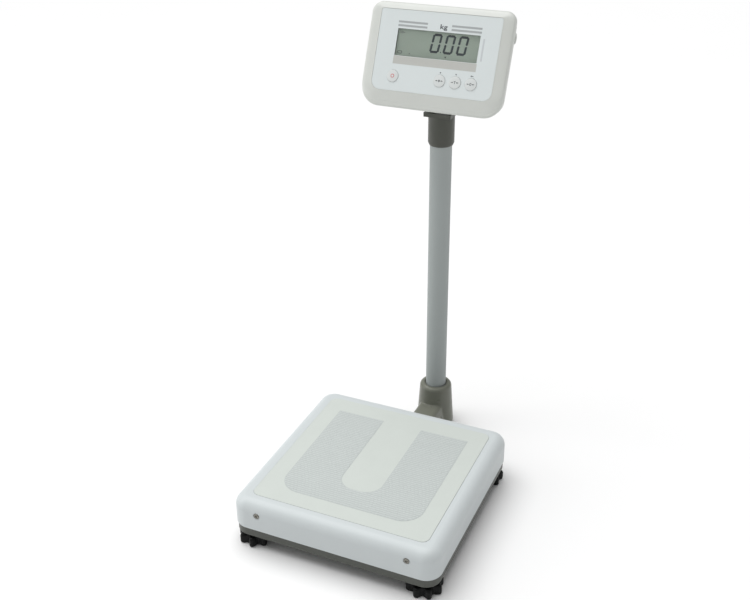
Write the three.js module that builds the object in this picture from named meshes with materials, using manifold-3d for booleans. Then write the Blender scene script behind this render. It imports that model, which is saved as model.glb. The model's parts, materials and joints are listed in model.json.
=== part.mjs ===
// Digital body scale: a square weighing platform on a levelled base, with a rear column
// that carries a tilting display head. Millimetres, +Z up, the front faces -Y.

import * as THREE from 'three';
import { mergeVertices } from 'three/addons/utils/BufferGeometryUtils.js';
import Module from 'manifold-3d';

const wasm = await Module();
wasm.setup();

// Clearances and cuts
const seatGap = 0.1;
const runningGap = 0.3;
const cutOverrun = 2;
const boltGap = 0.2;
const leastRadius = 0.4;

// Steps of round forms
const cornerSteps = 5;
const edgeSteps = 4;
const wideSides = 32;
const roundSides = 16;
const smallSides = 8;
const archSteps = 6;
const hexSides = 6;
const plateSteps = 3;
const windowSteps = 2;
const knobSteps = 6;

// Platform cover and mat
const platformWidth = 341;
const platformDepth = 341;
const coverHeight = 49;
const coverCornerRadius = 26;
const coverEdgeRadius = 17.7;
const coverWall = 3;
const coverLip = 1.2;
const coverRibHeight = 4;
const coverRibWidth = 2.5;
const coverRibPitch = 70;
const coverRibSetback = 40;
const matInset = 24.5;
const matCornerRadius = 12;
const matRecess = 1.2;
const matThickness = 1.5;

// Base tray
const skirtInset = 1.5;
const skirtHeight = 14.8;
const skirtEdgeRadius = 3;
const seamGap = 0.6;
const trayFloor = 3;
const lipGap = 1.2;
const lipWall = 2.5;
const lipHeight = 8;

// Levelling feet
const footInset = 28.3;
const footGap = 5.2;
const knobRadius = 29;
const knobHeight = 17.4;
const knobLobes = 8;
const knobLobeDepth = 7.7;
const knobBevel = 2;
const knobHubRadius = 11;
const knobHubHeight = 1.6;
const knobFrontTurn = 0.17;
const knobRearTurn = 0.34;
const knobSocketDepth = 11;
const studRadius = 5;
const studChamfer = 1;
const studRise = 16;
const footBossWall = 7;
const footBossHeight = 20;

// Load cell stack
const beamWidth = 80;
const beamThickness = 4;
const beamFrontLength = 110;
const beamUprightWidth = 124;
const cellLength = 150;
const cellWidth = 40;
const cellHeight = 34;
const cellPadLength = 42;
const cellBoltRadius = 3;
const cellBoltEdge = 11;
const cellBoltPitch = 20;
const cellBoltEngagement = 14;
const cellWindowRadius = 9;
const cellWindowPitch = 28;
const cellWebSlot = 5;
const boltHeadRadius = 5;
const boltHeadHeight = 3;
const loadPlateSideGap = 25.5;
const loadPlateThickness = 3;
const loadPlateBend = 13;
const loadPlateFlange = 22;
const loadPlateHole = 30;
const loadPlateHoleEdge = 52;
const stopEdge = 41;
const stopSetback = 69.5;
const stopRadius = 3;
const stopPostRadius = 5;
const stopCrownHeight = 1.5;
const stopTravel = 1.2;

// Cover screws
const coverScrewEdge = 18;
const coverScrewHeight = 28.9;
const coverScrewRadius = 2.4;
const coverScrewLength = 9;
const coverScrewHeadRadius = 4.5;
const coverScrewHeadHeight = 1.7;
const coverScrewRecess = 1.2;
const coverScrewRecessRadius = 5.4;

// Column bracket
const columnSetback = 100.5;
const bracketLift = 5;
const bracketHeight = 79;
const bossTopRadius = 28.5;
const bossBottomRadius = 33.3;
const bossEdgeRadius = 6;
const bossFloor = 6;
const bossGrooveWidth = 2.4;
const bossGrooveDepth = 3.5;
const armHeight = 45;
const armTopWidth = 40;
const armBottomWidth = 56;
const armEdgeRadius = 6;
const armCoverGap = 2;
const flangeWidth = 124;
const flangeHeight = 13.4;
const flangeThickness = 8;
const flangeFlare = 30;
const flangeBoltOffset = 49;
const flangeBoltRadius = 3;
const flangeBoltLength = 15;
const clampScrewRadius = 3;
const clampScrewLength = 11;
const clampScrewLow = 30;
const clampScrewPitch = 30;
const hexSocketRadius = 1.9;
const hexSocketDepth = 3;

// Column tube and collar
const tubeRadius = 18;
const tubeWall = 1.5;
const tubeLength = 566;
const collarGrip = 51;
const collarRadius = 22.9;
const collarRoof = 8;
const collarChamfer = 8;
const collarChamferWidth = 3.4;
const collarScrewLength = 4.5;
const cableHoleRadius = 7;
const yokeBlockHeight = 8;
const yokeCornerRadius = 1.5;
const yokeWidth = 40;
const yokeEarThickness = 6;
const yokeEarRadius = 11;
const pivotRise = 24.8;
const pivotSetback = 4;
const pivotRadius = 4;
const pivotHeadRadius = 7.5;
const pivotHeadHeight = 4;
const pivotNutHeight = 6;

// Display head, measured on its face from the top edge of the display window
const headTilt = 23.5;
const headHalfWidth = 116.2;
const headTop = 40.6;
const headBottom = 119.8;
const headTopCorner = 17;
const headBottomCorner = 31;
const headPanelHalfWidth = 98.6;
const headPanelTop = 29.2;
const headPanelBottom = 96;
const headPanelTopCorner = 4;
const headPanelBottomCorner = 15;
const headPanelRecess = 0.9;
const headPanelLip = 0.4;
const headWall = 2.4;
const headFrontDepth = 11;
const headRimDepth = 2.2;
const headRearDepth = 33;
const headRearDraft = 6;
const headRearEdgeRadius = 9;
const headSeam = 0.5;
const headSeamInset = 0.9;
const headPivotDepth = 63.7;
const headPivotDrop = 85.4;

// Panel, display and keys
const overlayThickness = 0.5;
const windowWidth = 133.4;
const windowHeight = 41.1;
const windowCornerRadius = 0.8;
const lensMargin = 1.6;
const lensThickness = 1.1;
const displayMargin = 4;
const displayThickness = 4.6;
const boardWidth = 164;
const boardHeight = 92;
const boardThickness = 1.6;
const boardDepth = 9;
const boardDrop = 40;
const boardPostRadius = 3;
const boardPostInset = 6;
const switchWidth = 6;
const switchHeight = 2.5;
const keyRadius = 9.3;
const keyRise = 1.1;
const keyDome = 0.5;
const keyFlangeRadius = 11;
const keyFlangeThickness = 1.2;
const keyPlungerRadius = 3;
const keyDrop = 72.9;
const keyPitch = 25.2;
const keyFirst = 12.8;
const powerKeyOffset = 64;
const keyTravel = 0.8;

// Rear cover fittings
const postOffset = 90;
const postTopRise = 18;
const postBottomDrop = 86;
const postRadius = 4.6;
const postScrewRadius = 1.5;
const postScrewHeadRadius = 3;
const postScrewHeadHeight = 2;
const postCounterbore = 3.6;
const postCounterboreDepth = 7;
const postScrewEngagement = 6;
const bracketPlateWidth = 66;
const bracketPlateHeight = 46;
const bracketPlateThickness = 2.5;
const bracketPlateDrop = 73;
const bracketPlateCorner = 5;
const bracketEarRadius = 9;
const bracketScrewRadius = 2;
const bracketScrewHeadRadius = 4;
const bracketScrewHeadHeight = 2.4;
const bracketScrewLength = 6;
const bracketScrewEdge = 8;
const inletRise = 5.5;
const inletDepth = 30;
const inletBossRadius = 10.5;
const inletReach = 113.6;
const inletRadius = 8;
const inletLength = 15;
const inletSocketRadius = 3.2;
const inletSocketDepth = 10;
const inletPinRadius = 1;

// Section of the head's front frame: how far out and how far back each step lies
const frameSectionShares = [[0, 0], [0.09, 0.06], [0.82, 0.8], [0.94, 0.93], [1, 1]];

// Levels and faces that several pieces share
const halfWidth = platformWidth / 2;
const halfDepth = platformDepth / 2;
const trayBottom = knobHeight + footGap;
const skirtTop = trayBottom + skirtHeight;
const coverBottom = skirtTop + seamGap;
const coverTop = coverBottom + coverHeight;
const loadPlateWidth = platformWidth - 2 * (coverWall + loadPlateSideGap);
const loadPlateSide = loadPlateWidth / 2;
const coverScrewX = loadPlateSide - coverScrewEdge;
const stopX = loadPlateSide - stopEdge;
const stopY = halfDepth - stopSetback;
const coverCeiling = coverTop - matRecess - coverWall;
const trayTop = trayBottom + trayFloor;
const trayInset = coverWall + lipGap + lipWall;
const beamTop = trayTop + seatGap + beamThickness;
const loadPlateTop = coverCeiling - coverRibHeight;
const loadPlateUnderside = loadPlateTop - loadPlateThickness;
const cellRoom = loadPlateUnderside - beamTop - cellHeight;
const spacerHeight = cellRoom / 2 - 2 * seatGap;
const cellBottom = beamTop + seatGap + spacerHeight + seatGap;
const cellTop = cellBottom + cellHeight;
const columnY = halfDepth + columnSetback;
const bracketTop = bracketLift + bracketHeight;
const tubeBottom = bracketLift + bossFloor + seatGap;
const tubeTop = tubeBottom + tubeLength;
const collarBottom = tubeTop - collarGrip;
const collarTop = tubeTop + seatGap + collarRoof;
const yokeTop = collarTop + yokeBlockHeight;
const pivotZ = yokeTop + pivotRise;
const pivotY = columnY + pivotSetback;
const footX = halfWidth - footInset;
const footY = halfDepth - footInset;
const headFrontWallBack = -(headPanelRecess + headWall);
const headRearFace = -(headFrontDepth + headRearDepth);

// Materials
function finish(colour, roughness, metalness) {
  return new THREE.MeshStandardMaterial({ color: colour, roughness, metalness });
}

const whiteGloss = finish('#dfe3e4', 0.25, 0);
const matSheet = finish('#d9dbd3', 0.6, 0);
const greyMoulding = finish('#5a5b56', 0.4, 0);
const darkMoulding = finish('#3f423c', 0.45, 0);
const tubePaint = finish('#8b9292', 0.35, 0.2);
const blackPlastic = finish('#161817', 0.5, 0);
const steel = finish('#9a9c9d', 0.4, 1);
const zincScrew = finish('#b4b1aa', 0.3, 1);
const aluminium = finish('#b9bcbe', 0.35, 1);
const headShell = finish('#dcdedb', 0.35, 0);
const panelFilm = finish('#d3d9da', 0.4, 0);
const clearLens = finish('#e8eeee', 0.05, 0);
const displayGreen = finish('#8f9a90', 0.3, 0);
const boardGreen = finish('#2f5a3c', 0.5, 0);
const keyWhite = finish('#d6dadd', 0.35, 0);

// Closed meshes, joined and cut
function solid(geometry) {
  const bare = geometry.clone();
  bare.deleteAttribute('normal');
  bare.deleteAttribute('uv');
  const merged = mergeVertices(bare);
  const corners = Uint32Array.from(merged.index.array);
  const vertProperties = Float32Array.from(merged.attributes.position.array);
  if (signedVolume(vertProperties, corners) < 0) {
    corners.reverse();
  }
  return new wasm.Manifold(new wasm.Mesh({ numProp: 3, vertProperties, triVerts: corners }));
}

function signedVolume(positions, corners) {
  const [a, b, c] = [new THREE.Vector3(), new THREE.Vector3(), new THREE.Vector3()];
  let sum = 0;
  for (let i = 0; i < corners.length; i += 3) {
    a.fromArray(positions, 3 * corners[i]);
    b.fromArray(positions, 3 * corners[i + 1]);
    c.fromArray(positions, 3 * corners[i + 2]);
    sum += a.dot(b.cross(c));
  }
  return sum / 6;
}

function geometryOf(shape) {
  const mesh = shape.getMesh();
  const geometry = new THREE.BufferGeometry();
  geometry.setAttribute('position', new THREE.BufferAttribute(mesh.vertProperties, 3));
  geometry.setIndex(new THREE.BufferAttribute(mesh.triVerts, 1));
  return geometry;
}

function join(...geometries) {
  return geometryOf(geometries.map(solid).reduce((sum, next) => sum.add(next)));
}

function cut(body, ...tools) {
  return geometryOf(tools.map(solid).reduce((rest, tool) => rest.subtract(tool), solid(body)));
}

// Basic forms: each stands on z = 0 unless it is moved
function block(width, depth, height) {
  return new THREE.BoxGeometry(width, depth, height).translate(0, 0, height / 2);
}

function rod(radius, height, sides = roundSides) {
  return new THREE.CylinderGeometry(radius, radius, height, sides)
    .rotateX(Math.PI / 2)
    .translate(0, 0, height / 2);
}

function turned(profile, sides = roundSides) {
  const points = profile.map(([radius, z]) => new THREE.Vector2(radius, z));
  return new THREE.LatheGeometry(points, sides).rotateX(Math.PI / 2);
}

function extruded(shape, height, steps = cornerSteps) {
  return new THREE.ExtrudeGeometry(shape, { depth: height, bevelEnabled: false, curveSegments: steps });
}

function roundedShape(width, height, radius) {
  const [x, y] = [width / 2, height / 2];
  const shape = new THREE.Shape();
  shape.moveTo(radius - x, -y);
  shape.lineTo(x - radius, -y);
  shape.absarc(x - radius, radius - y, radius, -Math.PI / 2, 0);
  shape.absarc(x - radius, y - radius, radius, 0, Math.PI / 2);
  shape.absarc(radius - x, y - radius, radius, Math.PI / 2, Math.PI);
  shape.absarc(radius - x, radius - y, radius, Math.PI, Math.PI * 1.5);
  return shape;
}

// A form on z pointed along +X, +Y or -Y
const towardX = (geometry) => geometry.rotateY(Math.PI / 2);
const towardBack = (geometry) => geometry.rotateX(-Math.PI / 2);
const towardFront = (geometry) => geometry.rotateX(Math.PI / 2);

// A form drawn in plan with its plan turned upright, square to X
const squareToX = (geometry) => geometry.rotateX(Math.PI / 2).rotateZ(Math.PI / 2);

// A ring of points: a rectangle with round corners at one height
function ring({ left, right, bottom, top, lowRadius, highRadius }, z) {
  const corners = [
    [right - lowRadius, bottom + lowRadius, lowRadius, -Math.PI / 2],
    [right - highRadius, top - highRadius, highRadius, 0],
    [left + highRadius, top - highRadius, highRadius, Math.PI / 2],
    [left + lowRadius, bottom + lowRadius, lowRadius, Math.PI],
  ];
  return corners.flatMap(([x, y, radius, start]) =>
    Array.from({ length: cornerSteps + 1 }, (_, step) => {
      const angle = start + (step / cornerSteps) * (Math.PI / 2);
      return new THREE.Vector3(x + radius * Math.cos(angle), y + radius * Math.sin(angle), z);
    }));
}

function inset(outline, distance) {
  return {
    left: outline.left + distance,
    right: outline.right - distance,
    bottom: outline.bottom + distance,
    top: outline.top - distance,
    lowRadius: Math.max(outline.lowRadius - distance, leastRadius),
    highRadius: Math.max(outline.highRadius - distance, leastRadius),
  };
}

function blend(inner, outer, share) {
  const mixed = {};
  for (const key of Object.keys(inner)) {
    mixed[key] = THREE.MathUtils.lerp(inner[key], outer[key], share);
  }
  return mixed;
}

// A closed skin over rings with equal counts of points, capped at both ends
function loft(rings) {
  const count = rings[0].length;
  const positions = rings.flat().flatMap((point) => point.toArray());
  const corners = [];
  for (let row = 0; row + 1 < rings.length; row += 1) {
    for (let i = 0; i < count; i += 1) {
      const next = (i + 1) % count;
      const [a, b] = [row * count + i, row * count + next];
      const [c, d] = [a + count, b + count];
      corners.push(a, b, d, a, d, c);
    }
  }
  const flat = (points) => points.map((point) => new THREE.Vector2(point.x, point.y));
  const lastRow = (rings.length - 1) * count;
  for (const [a, b, c] of THREE.ShapeUtils.triangulateShape(flat(rings[0]), [])) {
    corners.push(c, b, a);
  }
  for (const [a, b, c] of THREE.ShapeUtils.triangulateShape(flat(rings.at(-1)), [])) {
    corners.push(lastRow + a, lastRow + b, lastRow + c);
  }
  const geometry = new THREE.BufferGeometry();
  geometry.setAttribute('position', new THREE.Float32BufferAttribute(positions, 3));
  geometry.setIndex(corners);
  return geometry;
}

// The rounded corner between a wall and a face, as steps of inset and height
function edgeRound(radius, rise) {
  return Array.from({ length: edgeSteps + 1 }, (_, i) => {
    const angle = (i / edgeSteps) * (Math.PI / 2);
    return [radius * (1 - Math.cos(angle)), rise * Math.sin(angle)];
  });
}

function addPiece(parent, name, geometry, material) {
  const mesh = new THREE.Mesh(geometryOf(solid(geometry)), material);
  mesh.name = name;
  parent.add(mesh);
  return mesh;
}

const planOutline = {
  left: -halfWidth,
  right: halfWidth,
  bottom: -halfDepth,
  top: halfDepth,
  lowRadius: coverCornerRadius,
  highRadius: coverCornerRadius,
};

// Platform cover: one moulded shell with a recess for the mat and ribs under its top
function platformCover() {
  const arcBase = coverTop - coverEdgeRadius;
  const innerRadius = coverEdgeRadius - coverWall;
  const inner = edgeRound(innerRadius, coverCeiling - arcBase)
    .map(([step, rise]) => ring(inset(planOutline, coverWall + step), arcBase + rise));
  const outer = edgeRound(coverEdgeRadius, coverEdgeRadius)
    .map(([step, rise]) => ring(inset(planOutline, step), arcBase + rise));
  const matOutline = matEdge(matInset);
  const shell = loft([
    ...inner.reverse(),
    ring(inset(planOutline, coverWall), coverBottom),
    ring(inset(planOutline, coverLip), coverBottom),
    ring(planOutline, coverBottom + coverLip),
    ...outer,
    ring(matOutline, coverTop),
    ring(matOutline, coverTop - matRecess),
  ]);
  return cut(join(shell, ...coverRibs()), ...coverScrewCuts());
}

function matEdge(distance) {
  return { ...inset(planOutline, distance), lowRadius: matCornerRadius, highRadius: matCornerRadius };
}

function coverRibs() {
  const height = coverRibHeight - seatGap + coverWall / 2;
  const span = loadPlateWidth;
  const x = coverRibPitch / 2;
  const y = cellLength / 2 - coverRibSetback;
  return [-1, 1].flatMap((side) => [
    block(coverRibWidth, span, height).translate(side * x, 0, loadPlateTop + seatGap),
    block(span, coverRibWidth, height).translate(0, side * y, loadPlateTop + seatGap),
  ]);
}

// Places of the cover screws: x, the face's y and the way the screw points
const coverScrewSeats = [
  { name: 'front_left', x: -coverScrewX, side: -1 },
  { name: 'front_right', x: coverScrewX, side: -1 },
  { name: 'rear_left', x: -coverScrewX, side: 1 },
  { name: 'rear_right', x: coverScrewX, side: 1 },
];

function seatOnWall(geometry, { x, side }, faceInset) {
  const turnedOut = side > 0 ? towardBack(geometry) : towardFront(geometry);
  return turnedOut.translate(x, side * (halfDepth - faceInset), coverBottom + coverScrewHeight);
}

function coverScrewHole(depth) {
  return rod(coverScrewRadius + boltGap, depth, smallSides);
}

function coverScrewCuts() {
  return coverScrewSeats.flatMap((seat) => [
    seatOnWall(rod(coverScrewRecessRadius, cutOverrun), seat, coverScrewRecess),
    seatOnWall(coverScrewHole(2 * coverWall), seat, 2 * coverWall - cutOverrun),
  ]);
}

// Pan-head screw: its shank ends inside, its crowned head stands out of the seat
function panScrew(shankRadius, length, headRadius, headHeight) {
  return turned([
    [0, -length],
    [shankRadius, -length],
    [shankRadius, 0],
    [headRadius, 0],
    [headRadius, headHeight / 2],
    [headRadius * Math.SQRT1_2, headHeight],
    [0, headHeight],
  ], smallSides);
}

function coverScrew(seat) {
  const screw = panScrew(coverScrewRadius, coverScrewLength, coverScrewHeadRadius, coverScrewHeadHeight);
  return seatOnWall(screw, seat, coverScrewRecess - seatGap);
}

// Mat: a thin sheet that lies in the cover's recess
function platformMat() {
  const edge = matEdge(matInset + runningGap);
  const bottom = coverTop - matRecess + seatGap;
  return loft([ring(edge, bottom), ring(edge, bottom + matThickness)]);
}

// Load plate: pressed steel with front and rear flanges that take the cover screws
function loadPlate() {
  const outerY = halfDepth - coverWall - seatGap;
  const innerBend = loadPlateBend - loadPlateThickness;
  const flangeEnd = loadPlateTop - loadPlateFlange;
  const bendY = outerY - loadPlateBend;
  const bendZ = loadPlateTop - loadPlateBend;
  const section = new THREE.Shape();
  section.moveTo(-outerY, flangeEnd);
  section.lineTo(loadPlateThickness - outerY, flangeEnd);
  section.absarc(-bendY, bendZ, innerBend, Math.PI, Math.PI / 2, true);
  section.absarc(bendY, bendZ, innerBend, Math.PI / 2, 0, true);
  section.lineTo(outerY - loadPlateThickness, flangeEnd);
  section.lineTo(outerY, flangeEnd);
  section.absarc(bendY, bendZ, loadPlateBend, 0, Math.PI / 2);
  section.absarc(-bendY, bendZ, loadPlateBend, Math.PI / 2, Math.PI);
  const pressed = squareToX(extruded(section, loadPlateWidth, edgeSteps))
    .translate(-loadPlateSide, 0, 0);
  const bolts = cellBoltHoles(-1, loadPlateUnderside, loadPlateTop);
  return cut(pressed, ...loadPlateHoles(), ...bolts, ...flangeHoles());
}

// Round holes lighten the plate between the ribs that rest on it
function loadPlateHoles() {
  return [-1, 1].map((side) => rod(loadPlateHole, loadPlateThickness + 2 * cutOverrun)
    .translate(side * (loadPlateSide - loadPlateHoleEdge), 0, loadPlateUnderside - cutOverrun));
}

function flangeHoles() {
  const depth = coverWall + 2 * loadPlateThickness;
  return coverScrewSeats.map((seat) => seatOnWall(coverScrewHole(depth), seat, depth));
}

// Load cell: an aluminium bar, fixed at its rear end and loaded at its front end
const cellBoltPlaces = [cellBoltEdge, cellBoltEdge + cellBoltPitch];

function cellBoltHoles(end, low, high) {
  return cellBoltPlaces.map((place) =>
    rod(cellBoltRadius + boltGap, high - low + 2 * cutOverrun, smallSides)
      .translate(0, end * (cellLength / 2 - place), low - cutOverrun));
}

function loadCell() {
  const bar = block(cellWidth, cellLength, cellHeight).translate(0, 0, cellBottom);
  const middle = cellBottom + cellHeight / 2;
  const across = cellWidth + 2 * cutOverrun;
  const window = (place) => towardX(rod(cellWindowRadius, across)).translate(-across / 2, place, middle);
  const slot = block(across, cellWindowPitch, cellWebSlot).translate(0, 0, middle - cellWebSlot / 2);
  const lowHoles = cellBoltHoles(1, cellBottom, cellBottom + cellBoltEngagement);
  const highHoles = cellBoltHoles(-1, cellTop - cellBoltEngagement, cellTop);
  const windows = [-1, 1].map((end) => window(end * cellWindowPitch / 2));
  return cut(bar, ...windows, slot, ...lowHoles, ...highHoles);
}

function cellSpacer(end, bottom) {
  const pad = block(cellWidth, cellPadLength, spacerHeight);
  const y = end * (cellLength - cellPadLength) / 2;
  return cut(pad.translate(0, y, bottom), ...cellBoltHoles(end, bottom, bottom + spacerHeight));
}

const lowerHeadSeat = trayBottom - seatGap;
const upperHeadSeat = loadPlateTop + seatGap;

function lowerCellBolt(place) {
  const length = cellBottom + cellBoltEngagement - lowerHeadSeat;
  return cellBolt(length).rotateX(Math.PI).translate(0, cellLength / 2 - place, lowerHeadSeat);
}

function upperCellBolt(place) {
  const length = upperHeadSeat - cellTop + cellBoltEngagement;
  return cellBolt(length).translate(0, place - cellLength / 2, upperHeadSeat);
}

function cellBolt(length) {
  return turned([
    [0, -length],
    [cellBoltRadius, -length],
    [cellBoltRadius, 0],
    [boltHeadRadius, 0],
    [boltHeadRadius, boltHeadHeight],
    [0, boltHeadHeight],
  ], smallSides);
}

// Base beam: a steel strap under the load cell that turns up against the rear wall
function baseBeam() {
  const rear = halfDepth - trayInset - seatGap;
  const strapRear = rear - beamThickness / 2;
  const length = strapRear + beamFrontLength;
  const strap = block(beamWidth, length, beamThickness)
    .translate(0, strapRear - length / 2, trayTop + seatGap);
  const uprightHeight = skirtTop + lipHeight - trayTop - seatGap;
  const upright = block(beamUprightWidth, beamThickness, uprightHeight)
    .translate(0, rear - beamThickness / 2, trayTop + seatGap);
  return cut(join(strap, upright), ...cellBoltHoles(1, trayTop, beamTop), ...rearWallHoles());
}

// Base tray: floor, skirt and the lip that stands inside the cover
function baseTray() {
  const skirt = inset(planOutline, skirtInset);
  const lip = inset(planOutline, coverWall + lipGap);
  const innerWall = inset(planOutline, trayInset);
  const edge = edgeRound(skirtEdgeRadius, skirtEdgeRadius)
    .map(([step, rise]) => ring(inset(skirt, step), trayBottom + skirtEdgeRadius - rise))
    .reverse();
  const tray = loft([
    ...edge,
    ring(skirt, skirtTop),
    ring(lip, skirtTop),
    ring(lip, skirtTop + lipHeight),
    ring(innerWall, skirtTop + lipHeight),
    ring(innerWall, trayTop),
  ]);
  const whole = join(tray, ...footPlaces.map(footBoss));
  return cut(whole, ...footPlaces.map(footBore), ...stopPlaces.map(stopBore),
    ...cellBoltHoles(1, trayBottom, trayTop), ...rearWallHoles());
}

// Levelling feet: a lobed knob on a stud that screws into the tray's corner boss
const footPlaces = [
  { name: 'front_left', x: -footX, y: -footY, turn: knobFrontTurn },
  { name: 'front_right', x: footX, y: -footY, turn: -knobFrontTurn },
  { name: 'rear_left', x: -footX, y: footY, turn: -knobRearTurn },
  { name: 'rear_right', x: footX, y: footY, turn: knobRearTurn },
];

function footBoss({ x, y }) {
  return rod(studRadius + footBossWall, footBossHeight + trayFloor / 2)
    .translate(x, y, trayTop - trayFloor / 2);
}

function footBore({ x, y }) {
  const depth = footBossHeight + trayFloor + 2 * cutOverrun;
  return rod(studRadius + runningGap, depth).translate(x, y, trayBottom - cutOverrun);
}

function footKnob({ x, y, turn }) {
  const lobed = new THREE.Shape();
  const points = knobSteps * knobLobes;
  for (let i = 0; i < points; i += 1) {
    const angle = (i / points) * 2 * Math.PI;
    const dip = knobLobeDepth * (1 - Math.cos(knobLobes * angle)) / 2;
    const radius = knobRadius - knobBevel - dip;
    const place = [radius * Math.cos(angle + turn), radius * Math.sin(angle + turn)];
    if (i === 0) {
      lobed.moveTo(...place);
    } else {
      lobed.lineTo(...place);
    }
  }
  const bevel = { bevelThickness: knobBevel, bevelSize: knobBevel, bevelSegments: 1 };
  const star = new THREE.ExtrudeGeometry(lobed, { depth: knobHeight - 2 * knobBevel, ...bevel })
    .translate(0, 0, knobBevel);
  const hub = rod(knobHubRadius, knobHubHeight + knobBevel).translate(0, 0, knobHeight - knobBevel);
  const socket = rod(studRadius + runningGap, knobSocketDepth + cutOverrun + knobHubHeight)
    .translate(0, 0, knobHeight - knobSocketDepth);
  return cut(join(star, hub), socket).translate(x, y, 0);
}

function footStud({ x, y }) {
  const bottom = knobHeight - knobSocketDepth + runningGap;
  const top = trayTop + studRise;
  return turned([
    [0, bottom],
    [studRadius, bottom],
    [studRadius, top - studChamfer],
    [studRadius - studChamfer, top],
    [0, top],
  ]).translate(x, y, 0);
}

// Overload stops: posts screwed to the tray that meet the load plate when the scale is overloaded
const stopPlaces = [-1, 1].flatMap((side) => [-1, 1].map((end) => ({
  name: `${end < 0 ? 'front' : 'rear'}_${side < 0 ? 'left' : 'right'}`,
  x: side * stopX,
  y: end * stopY,
})));

function stopBore({ x, y }) {
  return rod(stopRadius + boltGap, trayFloor + 2 * cutOverrun, smallSides)
    .translate(x, y, trayBottom - cutOverrun);
}

function overloadStop({ x, y }) {
  const seat = trayTop + seatGap;
  const top = loadPlateUnderside - stopTravel;
  return turned([
    [0, trayBottom + seatGap],
    [stopRadius, trayBottom + seatGap],
    [stopRadius, seat],
    [stopPostRadius, seat],
    [stopPostRadius, top - stopCrownHeight],
    [stopPostRadius / 2, top],
    [0, top],
  ], smallSides).translate(x, y, 0);
}

// Column bracket: a tapered boss for the tube on an arm that bolts to the tray
const flangeBottom = skirtTop - flangeHeight;
const flangeFace = halfDepth - skirtInset + seatGap;
const flangeBoltZ = skirtTop - flangeHeight / 2;

function rearWallHoles() {
  const depth = trayInset + beamThickness + flangeThickness + 2 * cutOverrun;
  return [-1, 1].map((side) => towardBack(rod(flangeBoltRadius + boltGap, depth, smallSides))
    .translate(side * flangeBoltOffset, halfDepth - trayInset - beamThickness - cutOverrun, flangeBoltZ));
}

function flangeBolt(side) {
  const bolt = turned([
    [0, -boltHeadHeight],
    [boltHeadRadius, -boltHeadHeight],
    [boltHeadRadius, 0],
    [flangeBoltRadius, 0],
    [flangeBoltRadius, flangeBoltLength],
    [0, flangeBoltLength],
  ], smallSides);
  return towardBack(bolt).translate(side * flangeBoltOffset,
    halfDepth - trayInset - beamThickness - 2 * seatGap, flangeBoltZ);
}

function columnBoss() {
  const edge = edgeRound(bossEdgeRadius, bossEdgeRadius)
    .map(([step, rise]) => [bossTopRadius - step, bracketTop - bossEdgeRadius + rise]);
  return turned([[0, bracketLift], [bossBottomRadius, bracketLift], ...edge, [0, bracketTop]], wideSides)
    .translate(0, columnY, 0);
}

function columnArm() {
  const [top, bottom] = [armTopWidth / 2, armBottomWidth / 2];
  const section = new THREE.Shape();
  section.moveTo(-bottom, bracketLift);
  section.lineTo(bottom, bracketLift);
  section.lineTo(top, bracketLift + armHeight - armEdgeRadius);
  section.quadraticCurveTo(top, bracketLift + armHeight, top - armEdgeRadius, bracketLift + armHeight);
  section.lineTo(armEdgeRadius - top, bracketLift + armHeight);
  section.quadraticCurveTo(-top, bracketLift + armHeight, -top, bracketLift + armHeight - armEdgeRadius);
  const start = halfDepth + armCoverGap;
  const length = columnY - start;
  return towardFront(extruded(section, length, edgeSteps)).translate(0, columnY, 0);
}

function columnFlange() {
  const [wide, narrow] = [flangeWidth / 2, armBottomWidth / 2];
  const back = flangeFace + flangeThickness;
  const plan = new THREE.Shape();
  plan.moveTo(-wide, flangeFace);
  plan.lineTo(wide, flangeFace);
  plan.lineTo(wide, back);
  plan.quadraticCurveTo(narrow, back, narrow, back + flangeFlare);
  plan.lineTo(-narrow, back + flangeFlare);
  plan.quadraticCurveTo(-narrow, back, -wide, back);
  return extruded(plan, flangeHeight, edgeSteps).translate(0, 0, flangeBottom);
}

function columnBracket() {
  const bore = rod(tubeRadius + runningGap, bracketHeight, wideSides)
    .translate(0, columnY, bracketLift + bossFloor);
  const groove = rod(tubeRadius + bossGrooveWidth, bossGrooveDepth + cutOverrun, wideSides)
    .translate(0, columnY, bracketTop - bossGrooveDepth);
  const clampHoles = clampScrewHeights.map((z) =>
    towardBack(rod(clampScrewRadius + boltGap, bossBottomRadius, smallSides))
      .translate(0, columnY + tubeRadius / 2, z));
  return cut(join(columnBoss(), columnArm(), columnFlange()), bore, groove, ...clampHoles,
    ...rearWallHoles());
}

// Set screws with a hexagon socket clamp the tube in the boss and in the collar
const clampScrewHeights = [bracketLift + clampScrewLow, bracketLift + clampScrewLow + clampScrewPitch];

function setScrew(length, z) {
  const socket = rod(hexSocketRadius, hexSocketDepth + cutOverrun, hexSides)
    .translate(0, 0, length - hexSocketDepth);
  return towardBack(cut(rod(clampScrewRadius, length, smallSides), socket))
    .translate(0, columnY + tubeRadius + seatGap, z);
}

function columnTube() {
  return turned([
    [tubeRadius - tubeWall, tubeBottom],
    [tubeRadius, tubeBottom],
    [tubeRadius, tubeTop],
    [tubeRadius - tubeWall, tubeTop],
    [tubeRadius - tubeWall, tubeBottom],
  ], wideSides).translate(0, columnY, 0);
}

// Collar: a cap on the tube whose yoke carries the head's pivot
const collarScrewZ = collarBottom + collarGrip / 2;

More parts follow.
